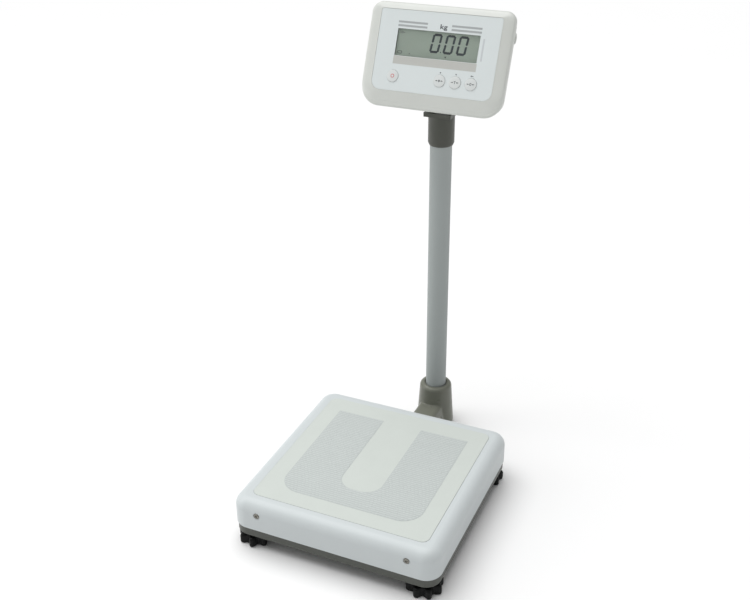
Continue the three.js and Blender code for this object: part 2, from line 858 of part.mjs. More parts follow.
function collar() {
  const sleeve = turned([
    [0, collarBottom],
    [collarRadius - collarChamferWidth, collarBottom],
    [collarRadius, collarBottom + collarChamfer],
    [collarRadius, collarTop + yokeBlockHeight / 2],
    [0, collarTop + yokeBlockHeight / 2],
  ], wideSides).translate(0, columnY, 0);
  const bore = rod(tubeRadius + boltGap, collarGrip + seatGap + cutOverrun, wideSides)
    .translate(0, columnY, collarBottom - cutOverrun);
  const cableHole = rod(cableHoleRadius, collarRoof + yokeBlockHeight + 2 * cutOverrun)
    .translate(0, columnY, tubeTop - cutOverrun);
  const screwHole = towardBack(rod(clampScrewRadius + boltGap, collarRadius, smallSides))
    .translate(0, columnY + tubeRadius / 2, collarScrewZ);
  return cut(join(sleeve, yokeBlock(), yokeEar(-1), yokeEar(1)), bore, cableHole, screwHole,
    pivotBore(pivotRadius + boltGap));
}

function yokeBlock() {
  const plan = new THREE.Shape();
  plan.moveTo(-collarRadius, 0);
  plan.lineTo(-collarRadius, yokeCornerRadius - collarRadius);
  plan.lineTo(yokeCornerRadius - collarRadius, -collarRadius);
  plan.lineTo(collarRadius - yokeCornerRadius, -collarRadius);
  plan.lineTo(collarRadius, yokeCornerRadius - collarRadius);
  plan.lineTo(collarRadius, 0);
  plan.absarc(0, 0, collarRadius, 0, Math.PI);
  return extruded(plan, yokeBlockHeight, wideSides / 2).translate(0, columnY, collarTop);
}

function yokeEar(side) {
  const shape = new THREE.Shape();
  const foot = yokeTop - yokeBlockHeight / 2 - pivotZ;
  shape.moveTo(-yokeEarRadius, foot);
  shape.lineTo(yokeEarRadius, foot);
  shape.absarc(0, 0, yokeEarRadius, 0, Math.PI);
  const inner = yokeWidth / 2 - yokeEarThickness;
  const plate = squareToX(extruded(shape, yokeEarThickness, archSteps));
  return plate.translate(side > 0 ? inner : -inner - yokeEarThickness, pivotY, pivotZ);
}

function pivotBore(radius) {
  const length = yokeWidth + 2 * cutOverrun;
  return towardX(rod(radius, length)).translate(-length / 2, pivotY, pivotZ);
}

function pivotBolt() {
  const reach = yokeWidth / 2 + seatGap;
  const end = yokeWidth + 2 * seatGap + pivotNutHeight;
  return towardX(turned([
    [0, -pivotHeadHeight],
    [pivotHeadRadius, -pivotHeadHeight],
    [pivotHeadRadius, 0],
    [pivotRadius, 0],
    [pivotRadius, end],
    [0, end],
  ])).translate(-reach, pivotY, pivotZ);
}

function pivotNut() {
  const nut = rod(pivotHeadRadius, pivotNutHeight, hexSides);
  const bore = rod(pivotRadius + boltGap, pivotNutHeight + 2 * cutOverrun).translate(0, 0, -cutOverrun);
  return towardX(cut(nut, bore)).translate(yokeWidth / 2 + seatGap, pivotY, pivotZ);
}

// Display head: x to the right, y up along the face, z out of the face,
// from the middle of the display window's top edge
const headOutline = {
  left: -headHalfWidth,
  right: headHalfWidth,
  bottom: -headBottom,
  top: headTop,
  lowRadius: headBottomCorner,
  highRadius: headTopCorner,
};

const panelOutline = {
  left: -headPanelHalfWidth,
  right: headPanelHalfWidth,
  bottom: -headPanelBottom,
  top: headPanelTop,
  lowRadius: headPanelBottomCorner,
  highRadius: headPanelTopCorner,
};

const headPosts = [-1, 1].flatMap((side) => [
  { name: side < 0 ? 'top_left' : 'top_right', x: side * postOffset, y: postTopRise },
  { name: side < 0 ? 'bottom_left' : 'bottom_right', x: side * postOffset, y: -postBottomDrop },
]);

const keyPlaces = [
  { name: 'power_key', x: -powerKeyOffset },
  { name: 'hold_key', x: keyFirst },
  { name: 'tare_key', x: keyFirst + keyPitch },
  { name: 'zero_key', x: keyFirst + 2 * keyPitch },
];

function windowCut(width, height, fromZ, toZ) {
  return extruded(roundedShape(width, height, windowCornerRadius), toZ - fromZ, windowSteps)
    .translate(0, -windowHeight / 2, fromZ);
}

function frontHousing() {
  const slopeDepth = headFrontDepth - headRimDepth;
  const innerOutline = inset(headOutline, headWall);
  const innerPanel = inset(panelOutline, headWall);
  const sloped = frameSectionShares.map(([out, back]) =>
    ring(blend(panelOutline, headOutline, out), -back * slopeDepth));
  const shell = loft([
    ring(innerPanel, headFrontWallBack),
    ring(innerOutline, headFrontWallBack + headWall - slopeDepth),
    ring(innerOutline, -headFrontDepth),
    ring(headOutline, -headFrontDepth),
    ...sloped.reverse(),
    ring(inset(panelOutline, headPanelLip), 0),
    ring(inset(panelOutline, headPanelLip), -headPanelRecess),
  ]);
  const posts = headPosts.map(({ x, y }) =>
    rod(postRadius, headFrontDepth - headPanelRecess - headWall / 2, smallSides)
      .translate(x, y, -headFrontDepth));
  const pilots = headPosts.map(({ x, y }) =>
    rod(postScrewRadius + boltGap, postScrewEngagement + cutOverrun, smallSides)
      .translate(x, y, -headFrontDepth - cutOverrun));
  const keyHoles = keyPlaces.map(({ x }) =>
    rod(keyRadius + runningGap, headWall + 2 * cutOverrun)
      .translate(x, -keyDrop, headFrontWallBack - cutOverrun));
  const lensSeat = windowCut(windowWidth + 2 * lensMargin, windowHeight + 2 * lensMargin,
    -headPanelRecess - lensThickness - seatGap, 0);
  const windowHole = windowCut(windowWidth, windowHeight, headFrontWallBack - cutOverrun, 0);
  return cut(join(shell, ...posts, ...boardPosts()), ...pilots, ...keyHoles, lensSeat, windowHole);
}

const boardCorners = [-1, 1].flatMap((side) => [-1, 1].map((end) => ({
  x: side * (boardWidth / 2 - boardPostInset),
  y: end * (boardHeight / 2 - boardPostInset) - boardDrop,
})));

function boardPosts() {
  return boardCorners.flatMap(({ x, y }) => [
    rod(boardPostRadius, boardDepth - seatGap - headPanelRecess - headWall / 2, smallSides)
      .translate(x, y, seatGap - boardDepth),
    rod(boardPostRadius / 2, boardThickness + 2 * boltGap, smallSides)
      .translate(x, y, -boardDepth - boardThickness - boltGap),
  ]);
}

function panelOverlay() {
  const edge = inset(panelOutline, headPanelLip + runningGap);
  const bottom = seatGap - headPanelRecess;
  const sheet = loft([ring(edge, bottom), ring(edge, bottom + overlayThickness)]);
  const keyHoles = keyPlaces.map(({ x }) =>
    rod(keyRadius + runningGap, 2 * cutOverrun).translate(x, -keyDrop, -cutOverrun));
  return cut(sheet, windowCut(windowWidth, windowHeight, -cutOverrun, cutOverrun), ...keyHoles);
}

function displayLens() {
  const margin = 2 * (lensMargin - runningGap);
  const top = -headPanelRecess;
  return windowCut(windowWidth + margin, windowHeight + margin, top - lensThickness, top);
}

function displayModule() {
  const margin = 2 * displayMargin;
  const front = headFrontWallBack - seatGap;
  return windowCut(windowWidth + margin, windowHeight + margin, front - displayThickness, front);
}

function circuitBoard() {
  const sheet = block(boardWidth, boardHeight, boardThickness)
    .translate(0, -boardDrop, -boardDepth - boardThickness);
  const switches = keyPlaces.map(({ x }) =>
    block(switchWidth, switchWidth, switchHeight + boardThickness / 2)
      .translate(x, -keyDrop, -boardDepth - boardThickness / 2));
  const postHoles = boardCorners.map(({ x, y }) =>
    rod(boardPostRadius / 2 + boltGap, boardThickness + 2 * cutOverrun, smallSides)
      .translate(x, y, -boardDepth - boardThickness - cutOverrun));
  return cut(join(sheet, ...switches), ...postHoles);
}

function key({ x }) {
  const flangeTop = headFrontWallBack - runningGap;
  const plungerEnd = switchHeight + keyTravel + boltGap - boardDepth;
  return turned([
    [0, plungerEnd],
    [keyPlungerRadius, plungerEnd],
    [keyPlungerRadius, flangeTop - keyFlangeThickness],
    [keyFlangeRadius, flangeTop - keyFlangeThickness],
    [keyFlangeRadius, flangeTop],
    [keyRadius, flangeTop],
    [keyRadius, keyRise - keyDome],
    [keyRadius - keyDome, keyRise],
    [0, keyRise],
  ]).translate(x, -keyDrop, 0);
}

// Rear cover: a drafted shell with screw posts and the round boss of the power inlet
function rearCover() {
  const rim = inset(headOutline, headSeamInset);
  const rear = inset(headOutline, headSeamInset + headRearDraft);
  const start = -headFrontDepth - headSeam;
  const wallEnd = headRearFace + headRearEdgeRadius;
  const innerRadius = headRearEdgeRadius - headWall;
  const outer = edgeRound(headRearEdgeRadius, headRearEdgeRadius)
    .map(([step, rise]) => ring(inset(rear, step), wallEnd - rise));
  const cavity = edgeRound(innerRadius, innerRadius)
    .map(([step, rise]) => ring(inset(rear, headWall + step), wallEnd - rise));
  const shell = loft([
    ...cavity.reverse(),
    ring(inset(rim, headWall), start),
    ring(rim, start),
    ...outer,
  ]);
  const postHeight = headRearDepth - seatGap - headWall / 2;
  const posts = headPosts.map(({ x, y }) =>
    rod(postRadius + headWall / 2, postHeight, smallSides).translate(x, y, headRearFace + headWall / 2));
  const holes = headPosts.flatMap(({ x, y }) => [
    rod(postScrewRadius + boltGap, headRearDepth + 2 * cutOverrun, smallSides)
      .translate(x, y, headRearFace - cutOverrun),
    rod(postCounterbore, postCounterboreDepth + cutOverrun, smallSides)
      .translate(x, y, headRearFace - cutOverrun),
  ]);
  const boss = towardX(rod(inletBossRadius, inletLength))
    .translate(inletReach - inletLength, inletRise, -inletDepth);
  const bore = towardX(rod(inletRadius + boltGap, inletLength + 2 * cutOverrun))
    .translate(inletReach - inletLength - cutOverrun, inletRise, -inletDepth);
  return cut(join(shell, ...posts, boss), ...holes, bore, ...bracketScrewHoles());
}

const bracketScrewPlaces = [-1, 1].flatMap((side) => [-1, 1].map((end) => ({
  name: `${end < 0 ? 'low' : 'high'}_${side < 0 ? 'left' : 'right'}`,
  x: side * (bracketPlateWidth / 2 - bracketScrewEdge),
  y: end * (bracketPlateHeight / 2 - bracketScrewEdge) - bracketPlateDrop,
})));

function bracketScrewHoles() {
  const depth = bracketScrewLength + 2 * cutOverrun;
  return bracketScrewPlaces.map(({ x, y }) => rod(bracketScrewRadius + boltGap, depth, smallSides)
    .translate(x, y, headRearFace - bracketPlateThickness - cutOverrun));
}

function powerInlet() {
  const body = towardX(rod(inletRadius, inletLength - seatGap)).translate(inletReach - inletLength, 0, 0);
  const socket = towardX(rod(inletSocketRadius, inletSocketDepth + cutOverrun))
    .translate(inletReach - inletSocketDepth, 0, 0);
  const pin = towardX(rod(inletPinRadius, inletSocketDepth, smallSides))
    .translate(inletReach - inletSocketDepth - inletPinRadius, 0, 0);
  return join(cut(body, socket), pin).translate(0, inletRise, -inletDepth);
}

function rearScrew({ x, y }) {
  const length = headRearDepth - postCounterboreDepth + postScrewEngagement - 2 * seatGap;
  const seat = headRearFace + postCounterboreDepth - seatGap;
  return panScrew(postScrewRadius, length, postScrewHeadRadius, postScrewHeadHeight)
    .rotateX(Math.PI)
    .translate(x, y, seat);
}

// Tilt bracket: a plate on the rear cover with two ears that turn inside the yoke
function tiltBracket() {
  const face = headRearFace - seatGap;
  const plate = extruded(roundedShape(bracketPlateWidth, bracketPlateHeight, bracketPlateCorner),
    bracketPlateThickness, plateSteps).translate(0, -bracketPlateDrop, face - bracketPlateThickness);
  const ears = [-1, 1].map(bracketEar);
  const bore = towardX(rod(pivotRadius + runningGap, yokeWidth))
    .translate(-yokeWidth / 2, -headPivotDrop, -headPivotDepth);
  return cut(join(plate, ...ears), bore, ...bracketScrewHoles());
}

function bracketEar(side) {
  const reach = headPivotDepth + headRearFace - bracketPlateThickness / 2;
  const shape = new THREE.Shape();
  shape.moveTo(-bracketEarRadius, 0);
  shape.absarc(0, 0, bracketEarRadius, Math.PI, 2 * Math.PI);
  shape.lineTo(2 * bracketEarRadius, reach);
  shape.lineTo(-bracketEarRadius, reach);
  const outer = yokeWidth / 2 - yokeEarThickness - runningGap;
  const inner = outer - bracketPlateThickness;
  return squareToX(extruded(shape, bracketPlateThickness, archSteps))
    .translate(side > 0 ? inner : -outer, -headPivotDrop, -headPivotDepth);
}

function bracketScrew({ x, y }) {
  return panScrew(bracketScrewRadius, bracketScrewLength + bracketPlateThickness,
    bracketScrewHeadRadius, bracketScrewHeadHeight)
    .rotateX(Math.PI)
    .translate(x, y, headRearFace - bracketPlateThickness - 2 * seatGap);
}

// The whole scale
const scale = new THREE.Group();

addPiece(scale, 'base_tray', baseTray(), greyMoulding);
addPiece(scale, 'base_beam', baseBeam(), steel);
addPiece(scale, 'lower_spacer', cellSpacer(1, beamTop + seatGap), steel);
addPiece(scale, 'load_cell', loadCell(), aluminium);
addPiece(scale, 'upper_spacer', cellSpacer(-1, cellTop + seatGap), steel);
addPiece(scale, 'load_plate', loadPlate(), steel);
cellBoltPlaces.forEach((place, i) => {
  addPiece(scale, `lower_cell_bolt_${i + 1}`, lowerCellBolt(place), zincScrew);
  addPiece(scale, `upper_cell_bolt_${i + 1}`, upperCellBolt(place), zincScrew);
});
for (const place of stopPlaces) {
  addPiece(scale, `overload_stop_${place.name}`, overloadStop(place), zincScrew);
}
addPiece(scale, 'platform_cover', platformCover(), whiteGloss);
addPiece(scale, 'platform_mat', platformMat(), matSheet);
for (const seat of coverScrewSeats) {
  addPiece(scale, `cover_screw_${seat.name}`, coverScrew(seat), zincScrew);
}
for (const place of footPlaces) {
  addPiece(scale, `foot_stud_${place.name}`, footStud(place), zincScrew);
  addPiece(scale, `foot_knob_${place.name}`, footKnob(place), blackPlastic);
}

addPiece(scale, 'column_bracket', columnBracket(), greyMoulding);
addPiece(scale, 'bracket_bolt_left', flangeBolt(-1), zincScrew);
addPiece(scale, 'bracket_bolt_right', flangeBolt(1), zincScrew);
clampScrewHeights.forEach((z, i) => {
  addPiece(scale, `clamp_screw_${i + 1}`, setScrew(clampScrewLength, z), zincScrew);
});
addPiece(scale, 'column_tube', columnTube(), tubePaint);
addPiece(scale, 'column_collar', collar(), darkMoulding);
addPiece(scale, 'collar_screw', setScrew(collarScrewLength, collarScrewZ), zincScrew);
addPiece(scale, 'pivot_bolt', pivotBolt(), zincScrew);
addPiece(scale, 'pivot_nut', pivotNut(), zincScrew);

const hinge = new THREE.Group();
hinge.position.set(0, pivotY, pivotZ);
hinge.rotation.x = Math.PI / 2 - THREE.MathUtils.degToRad(headTilt);
scale.add(hinge);
const head = new THREE.Group();
head.position.set(0, headPivotDrop, headPivotDepth);
hinge.add(head);

addPiece(head, 'front_housing', frontHousing(), headShell);
addPiece(head, 'rear_cover', rearCover(), headShell);
addPiece(head, 'panel_overlay', panelOverlay(), panelFilm);
addPiece(head, 'display_lens', displayLens(), clearLens);
addPiece(head, 'display_module', displayModule(), displayGreen);
addPiece(head, 'circuit_board', circuitBoard(), boardGreen);
for (const place of keyPlaces) {
  addPiece(head, place.name, key(place), keyWhite);
}
addPiece(head, 'power_inlet', powerInlet(), headShell);
for (const post of headPosts) {
  addPiece(head, `rear_screw_${post.name}`, rearScrew(post), zincScrew);
}
addPiece(head, 'tilt_bracket', tiltBracket(), darkMoulding);
for (const place of bracketScrewPlaces) {
  addPiece(head, `tilt_screw_${place.name}`, bracketScrew(place), zincScrew);
}

// The origin lies on the floor under the middle of the whole object's box
const bounds = new THREE.Box3().setFromObject(scale, true);
const middle = bounds.getCenter(new THREE.Vector3());
scale.position.set(-middle.x, -middle.y, -bounds.min.z);

export default scale;
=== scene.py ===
import json
import math

import bmesh
import bpy
from mathutils import Matrix, Vector


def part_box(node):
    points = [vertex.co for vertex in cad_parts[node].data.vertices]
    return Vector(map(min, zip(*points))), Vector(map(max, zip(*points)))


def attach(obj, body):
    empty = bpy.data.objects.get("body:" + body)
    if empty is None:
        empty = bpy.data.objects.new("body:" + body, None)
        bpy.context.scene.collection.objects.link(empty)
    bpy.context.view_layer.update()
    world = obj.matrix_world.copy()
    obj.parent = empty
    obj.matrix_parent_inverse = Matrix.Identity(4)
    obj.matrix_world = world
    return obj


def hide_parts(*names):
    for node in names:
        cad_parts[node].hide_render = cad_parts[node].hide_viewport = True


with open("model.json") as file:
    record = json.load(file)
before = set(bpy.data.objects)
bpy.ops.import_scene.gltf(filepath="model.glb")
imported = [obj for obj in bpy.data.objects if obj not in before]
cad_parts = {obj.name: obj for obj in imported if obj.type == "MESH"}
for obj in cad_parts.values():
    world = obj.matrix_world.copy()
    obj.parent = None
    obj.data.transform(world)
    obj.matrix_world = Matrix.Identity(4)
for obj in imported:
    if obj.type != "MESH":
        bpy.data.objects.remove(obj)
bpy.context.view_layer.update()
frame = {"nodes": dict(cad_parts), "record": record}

MM = 0.001
# Places closer than this are the same place, and corners closer than the second are merged
FLUSH = 0.00002
DOUBLES = 0.000002
# An edge or normal looks along an axis from this share of its length on
STRAIGHT = 0.99
CORNERS = ("front_left", "front_right", "rear_left", "rear_right")


def place_camera():
    """The photograph's place: a step back, to the right and above the platform."""
    data = bpy.data.cameras.new("photo_camera")
    data.lens = 49.55
    data.sensor_width = 36
    camera = bpy.data.objects.new("photo_camera", data)
    bpy.context.scene.collection.objects.link(camera)
    turn = Matrix.Rotation(0.42245, 4, "Z")
    look_down = Matrix.Rotation(math.pi / 2 - 0.48809, 4, "X")
    level = Matrix.Rotation(-0.0100, 4, "Z")
    place = Matrix.Translation((0.5525, -1.291167, 1.0972))
    camera.matrix_world = place @ turn @ look_down @ level
    bpy.context.scene.camera = camera


place_camera()


# Moves of the hand: each piece below is made with these
def put_down():
    if bpy.context.mode != "OBJECT":
        leave_edit()
    bpy.ops.object.select_all(action="DESELECT")


def leave_edit():
    bpy.ops.object.mode_set(mode="OBJECT")


def take(*pieces):
    """Selects these pieces and nothing else; the first one is worked on."""
    put_down()
    for piece in pieces:
        piece.select_set(True)
    bpy.context.view_layer.objects.active = pieces[0]


def rename(piece, name):
    piece.name = name
    piece.data.name = name
    return piece


def named(name):
    piece = rename(bpy.context.object, name)
    bpy.ops.object.transform_apply(location=True, rotation=True, scale=True)
    return piece


def middle_of(low, high):
    return [(a + b) / 2 for a, b in zip(low, high)]


def block(name, low, high):
    put_down()
    size = [b - a for a, b in zip(low, high)]
    bpy.ops.mesh.primitive_cube_add(size=1, location=middle_of(low, high), scale=size)
    return named(name)


TURNED = {"X": (0, math.pi / 2, 0), "Y": (-math.pi / 2, 0, 0), "Z": (0, 0, 0)}


def rod(name, radius, start, length, axis="Z", sides=64, far_radius=None):
    """A round bar or cone from a start point along an axis."""
    put_down()
    middle = Vector(start)
    middle["XYZ".index(axis)] += length / 2
    far = radius if far_radius is None else far_radius
    bpy.ops.mesh.primitive_cone_add(
        vertices=sides, radius1=radius, radius2=far, depth=length,
        location=middle, rotation=TURNED[axis])
    return named(name)


def pick(piece, kind, wanted=lambda part: True):
    """Selects the corners, edges or faces whose place or normal is wanted."""
    take(piece)
    bpy.ops.object.mode_set(mode="EDIT")
    bpy.ops.mesh.select_mode(type=kind)
    bpy.ops.mesh.select_all(action="DESELECT")
    form = bmesh.from_edit_mesh(piece.data)
    for part in {"VERT": form.verts, "EDGE": form.edges, "FACE": form.faces}[kind]:
        if wanted(part):
            part.select_set(True)
    form.select_flush_mode()
    bmesh.update_edit_mesh(piece.data)


def ends(edge):
    return edge.verts[0].co, edge.verts[1].co


def upright(edge):
    a, b = ends(edge)
    return abs(a.z - b.z) > STRAIGHT * (a - b).length


def level_at(height, axis=2):
    """Wants the edges that lie at this height, or this far along another axis."""
    return lambda edge: all(abs(end[axis] - height) < FLUSH for end in ends(edge))


def face_at(height, way):
    """Wants the faces at this height that look up (1) or down (-1)."""
    return lambda face: (face.normal.z * way > STRAIGHT
                         and abs(face.calc_center_median().z - height) < FLUSH)


def bevel(width, steps, affect="EDGES"):
    bpy.ops.mesh.bevel(offset=width, segments=steps, profile=0.5, affect=affect)
    leave_edit()


def extrude(x=0, y=0, z=0):
    bpy.ops.mesh.extrude_region_move(TRANSFORM_OT_translate={"value": (x, y, z)})


def inset(width):
    bpy.ops.mesh.inset(thickness=width)


def shift(x=0, y=0, z=0):
    bpy.ops.transform.translate(value=(x, y, z))


def resize(x, y, **settings):
    bpy.ops.transform.resize(value=(x, y, 1), **settings)


def close_up(piece):
    """Merges doubles and turns the faces outwards."""
    take(piece)
    bpy.ops.object.mode_set(mode="EDIT")
    bpy.ops.mesh.select_all(action="SELECT")
    bpy.ops.mesh.remove_doubles(threshold=DOUBLES)
    bpy.ops.mesh.normals_make_consistent(inside=False)
    leave_edit()


def modify(piece, kind, **settings):
    take(piece)
    modifier = piece.modifiers.new(kind.lower(), kind)
    for name, value in settings.items():
        setattr(modifier, name, value)
    bpy.ops.object.modifier_apply(modifier=modifier.name)


def combine(piece, operation, others):
    for other in others:
        modify(piece, "BOOLEAN", operation=operation, solver="EXACT", object=other)
        bpy.data.objects.remove(other)


def cut_away(piece, *tools):
    combine(piece, "DIFFERENCE", tools)


def weld(piece, *others):
    combine(piece, "UNION", others)


def gather(piece, *others):
    """Joins meshes into one piece without cutting them."""
    take(piece, *others)
    bpy.ops.object.join()
    return piece


def another(piece, name):
    take(piece)
    bpy.ops.object.duplicate()
    return rename(bpy.context.object, name)


def move(piece, place):
    take(piece)
    piece.matrix_world = place
    bpy.ops.object.transform_apply(location=True, rotation=True, scale=True)


def smooth(piece, angle, weighted=False):
    take(piece)
    bpy.ops.object.shade_smooth_by_angle(angle=math.radians(angle))
    if weighted:
        modify(piece, "WEIGHTED_NORMAL", keep_sharp=True)


def fit(piece, body, material, replaced=()):
    """Gives a finished piece its material and the body that carries it."""
    piece.data.materials.clear()
    piece.data.materials.append(material)
    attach(piece, body)
    if replaced:
        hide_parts(*replaced)


def body_of(node):
    bodies = frame["record"]["behaviour"]["bodies"]
    return next(name for name, nodes in bodies.items() if node in nodes)


# Finishes
def paint(hex_colour):
    """An sRGB hex value as linear light."""
    shares = [int(hex_colour[i:i + 2], 16) / 255 for i in (1, 3, 5)]
    return (*[c / 12.92 if c <= 0.04045 else ((c + 0.055) / 1.055) ** 2.4 for c in shares], 1)


def add(tree, kind, settings=None, links=None):
    """Adds one node, sets its sockets or options and links its inputs."""
    node = tree.nodes.new(kind)
    for name, value in (settings or {}).items():
        if name in node.inputs:
            node.inputs[name].default_value = value
        else:
            setattr(node, name, value)
    for name, source in (links or {}).items():
        tree.links.new(source, node.inputs[name])
    return node


def bare_material(name):
    """An empty surface, and the place on the object that its patterns follow."""
    material = bpy.data.materials.new(name)
    material.use_nodes = True
    tree = material.node_tree
    tree.nodes.clear()
    surface = add(tree, "ShaderNodeBsdfPrincipled")
    add(tree, "ShaderNodeOutputMaterial", {}, {"Surface": surface.outputs["BSDF"]})
    place = add(tree, "ShaderNodeTexCoord").outputs["Object"]
    return material, tree, surface, place


def noise(tree, place, size_mm, detail, rough=0.5):
    """A cloudy pattern of this size."""
    settings = {"Scale": 1 / (size_mm * MM), "Detail": detail, "Roughness": rough}
    return add(tree, "ShaderNodeTexNoise", settings, {"Vector": place}).outputs["Fac"]


# Sockets of a colour mix: the two colours that go in and the one that comes out
COLOUR_A, COLOUR_B, COLOUR_OUT = 6, 7, 2


def two_tones(tree, surface, pattern, light, dark):
    tones = add(tree, "ShaderNodeMix", {"data_type": "RGBA"})
    tree.links.new(pattern, tones.inputs[0])
    tones.inputs[COLOUR_A].default_value = paint(light)
    tones.inputs[COLOUR_B].default_value = paint(dark)
    tree.links.new(tones.outputs[COLOUR_OUT], surface.inputs["Base Color"])


def uneven_gloss(tree, surface, pattern, rough, spread):
    settings = {"From Min": 0.3, "From Max": 0.7,
                "To Min": rough - spread, "To Max": rough + spread}
    gloss = add(tree, "ShaderNodeMapRange", settings, {"Value": pattern})
    tree.links.new(gloss.outputs["Result"], surface.inputs["Roughness"])


def relief(tree, surface, pattern, strength, deep_mm):
    settings = {"Strength": strength, "Distance": deep_mm * MM}
    bump = add(tree, "ShaderNodeBump", settings, {"Height": pattern})
    tree.links.new(bump.outputs["Normal"], surface.inputs["Normal"])


def coloured(name, light, dark, patch_mm, rough, rough_spread, grain_mm, grain_deep_mm,
             metallic=0.0, ior=None):
    """A finish with soft patches of two near tones, uneven gloss and a fine grain."""
    material, tree, surface, place = bare_material(name)
    surface.inputs["Metallic"].default_value = metallic
    if ior:
        surface.inputs["IOR"].default_value = ior
    patches = noise(tree, place, patch_mm, 4.0, 0.55)
    two_tones(tree, surface, patches, light, dark)
    uneven_gloss(tree, surface, patches, rough, rough_spread)
    relief(tree, surface, noise(tree, place, grain_mm, 3.0, 0.6), 1.0, grain_deep_mm)
    return material


def brushed(name, light, dark, axis, line_mm, rough, rough_spread):
    """Bare metal with fine drawn or ground lines that run along one axis."""
    material, tree, surface, place = bare_material(name)
    surface.inputs["Metallic"].default_value = 1.0
    stretch = [1.0, 1.0, 1.0]
    stretch["XYZ".index(axis)] = 0.02
    along = add(tree, "ShaderNodeMapping", {"Scale": stretch}, {"Vector": place})
    lines = noise(tree, along.outputs["Vector"], line_mm, 4.0)
    two_tones(tree, surface, lines, light, dark)
    uneven_gloss(tree, surface, lines, rough, rough_spread)
    relief(tree, surface, lines, 0.6, 0.02)
    return material


def clear_acrylic():
    """Cast acrylic with a faint haze that keeps the window from looking empty."""
    material, tree, surface, place = bare_material("clear_cast_acrylic")
    haze = noise(tree, place, 20, 3.0)
    rough = add(tree, "ShaderNodeMapRange", {"To Min": 0.01, "To Max": 0.04}, {"Value": haze})
    tree.links.new(rough.outputs["Result"], surface.inputs["Roughness"])
    surface.inputs["Base Color"].default_value = paint("#f6faf8")
    surface.inputs["Transmission Weight"].default_value = 1.0
    surface.inputs["IOR"].default_value = 1.49
    return material


# Gloss-moulded ABS: clean white, soft highlights, a trace of flow in the skin
cover_white = coloured("gloss_white_abs", "#cad0d1", "#c5cbcc",
                       60, 0.36, 0.02, 5.0, 0.0015, ior=1.36)
# Calendered PVC sheet: warm white, matt, with the fine grain of the roller
mat_sheet = coloured("calendered_pvc_mat", "#c8cec9", "#c2c8c3",
                     45, 0.55, 0.04, 0.8, 0.012, ior=1.52)
# The same sheet printed cool grey where the feet stand
grip_print = coloured("grey_printed_pvc", "#b9bfbd", "#b3b9b7",
                      30, 0.5, 0.04, 0.8, 0.012, ior=1.52)
# Its embossed ribs, a little smoother: lighter than the print around them as painted highlight on
# their raised tops
grip_rib_highlight = coloured("embossed_pvc_ribs", "#c5cbc9", "#bfc5c3",
                           18, 0.45, 0.04, 0.7, 0.006, ior=1.52)
# Spark-eroded ABS in warm grey: the skirt under the cover
skirt_grey = coloured("grained_grey_abs", "#474a43", "#41443e",
                      40, 0.42, 0.04, 0.7, 0.02, ior=1.53)
# Powder coat on a casting: semi-gloss with a slight orange peel
bracket_grey = coloured("grey_powder_coat", "#77796e", "#6d6f65",
                        26, 0.3, 0.03, 1.6, 0.006, ior=1.38)
# Silver-grey lacquer on a drawn tube: smooth and nearly matt
tube_grey = coloured("silver_grey_lacquer", "#a9afae", "#a3a9a8",
                     70, 0.5, 0.03, 2.5, 0.0005, ior=1.2)
# Nylon with glass fibre: dark, satin, finely speckled
collar_dark = coloured("dark_glass_filled_nylon", "#42443b", "#3a3c34",
                       20, 0.4, 0.05, 0.5, 0.012, ior=1.52)
# Black polypropylene knobs: satin with moulding grain
knob_black = coloured("black_polypropylene", "#131414", "#0d0e0e",
                      15, 0.42, 0.06, 0.6, 0.012, ior=1.25)
# Satin ABS of the head's two shells, slightly warm
head_white = coloured("satin_warm_white_abs", "#d5d8d3", "#cfd2cd",
                      55, 0.36, 0.03, 0.9, 0.002, ior=1.53)
# Polyester overlay with a fine velvet texture
panel_film = coloured("velvet_polyester_film", "#e0e7e7", "#dae1e1",
                      50, 0.42, 0.03, 0.4, 0.003, ior=1.57)
# Moulded silicone keys: soft and matt
key_white = coloured("matt_white_silicone", "#dee2e1", "#d8dcdb",
                     12, 0.4, 0.04, 0.5, 0.004, ior=1.43)
# Reflective twisted-nematic glass: grey-green with faint cloudiness
display_glass = coloured("reflective_lcd_glass", "#dde7db", "#d6e0d4",
                         30, 0.22, 0.02, 1.0, 0.001, ior=1.52)
# Switched-on segments of the display
display_mark = coloured("dark_lcd_segment", "#4b5459", "#434c51",
                        6, 0.3, 0.03, 0.6, 0.001, ior=1.52)
# Dark frame round the glass: painted shade for the dark band along the window's edges
shade_mask = coloured("dark_painted_shade_frame", "#4a504b", "#3e443f",
                      8, 0.8, 0.05, 0.5, 0.03, ior=1.5)


def screen_ink(tone, light, dark, patch_mm):
    """Ink printed through a screen: thin, even and satin."""
    return coloured(tone + "_screen_ink", light, dark, patch_mm, 0.5, 0.04, 0.5, 0.002, ior=1.5)


grey_ink = screen_ink("grey", "#acb0b1", "#a6aaab", 9)
pale_ink = screen_ink("pale", "#c3c4bf", "#bdbeb9", 12)
faint_ink = screen_ink("faint", "#ced3d5", "#c8cdcf", 9)
dark_ink = screen_ink("dark_grey", "#5c6164", "#565b5e", 5)
red_ink = screen_ink("red", "#cf5257", "#c84c51", 4)
# Bright zinc plate on small screws
zinc = coloured("zinc_plated_steel", "#b9b7b0", "#aaa8a1",
                4, 0.32, 0.05, 0.4, 0.0015, metallic=1.0)
# The same plate painted darker: painted shade for the recesses round the cover screws
zinc_painted_shade = coloured("zinc_plate_painted_shade", "#8e8c85", "#7e7c76",
                     4, 0.38, 0.05, 0.4, 0.0015, metallic=1.0)
# Cold-rolled sheet of the beam and the load plate, with the roller's lines
rolled_steel = brushed("rolled_steel_sheet", "#a5a7a8", "#8f9192", "X", 0.5, 0.38, 0.08)
# Milled faces of the load cell, with the cutter's lines
milled_aluminium = brushed("milled_aluminium", "#c3c6c8", "#adb0b2", "Y", 0.4, 0.32, 0.08)
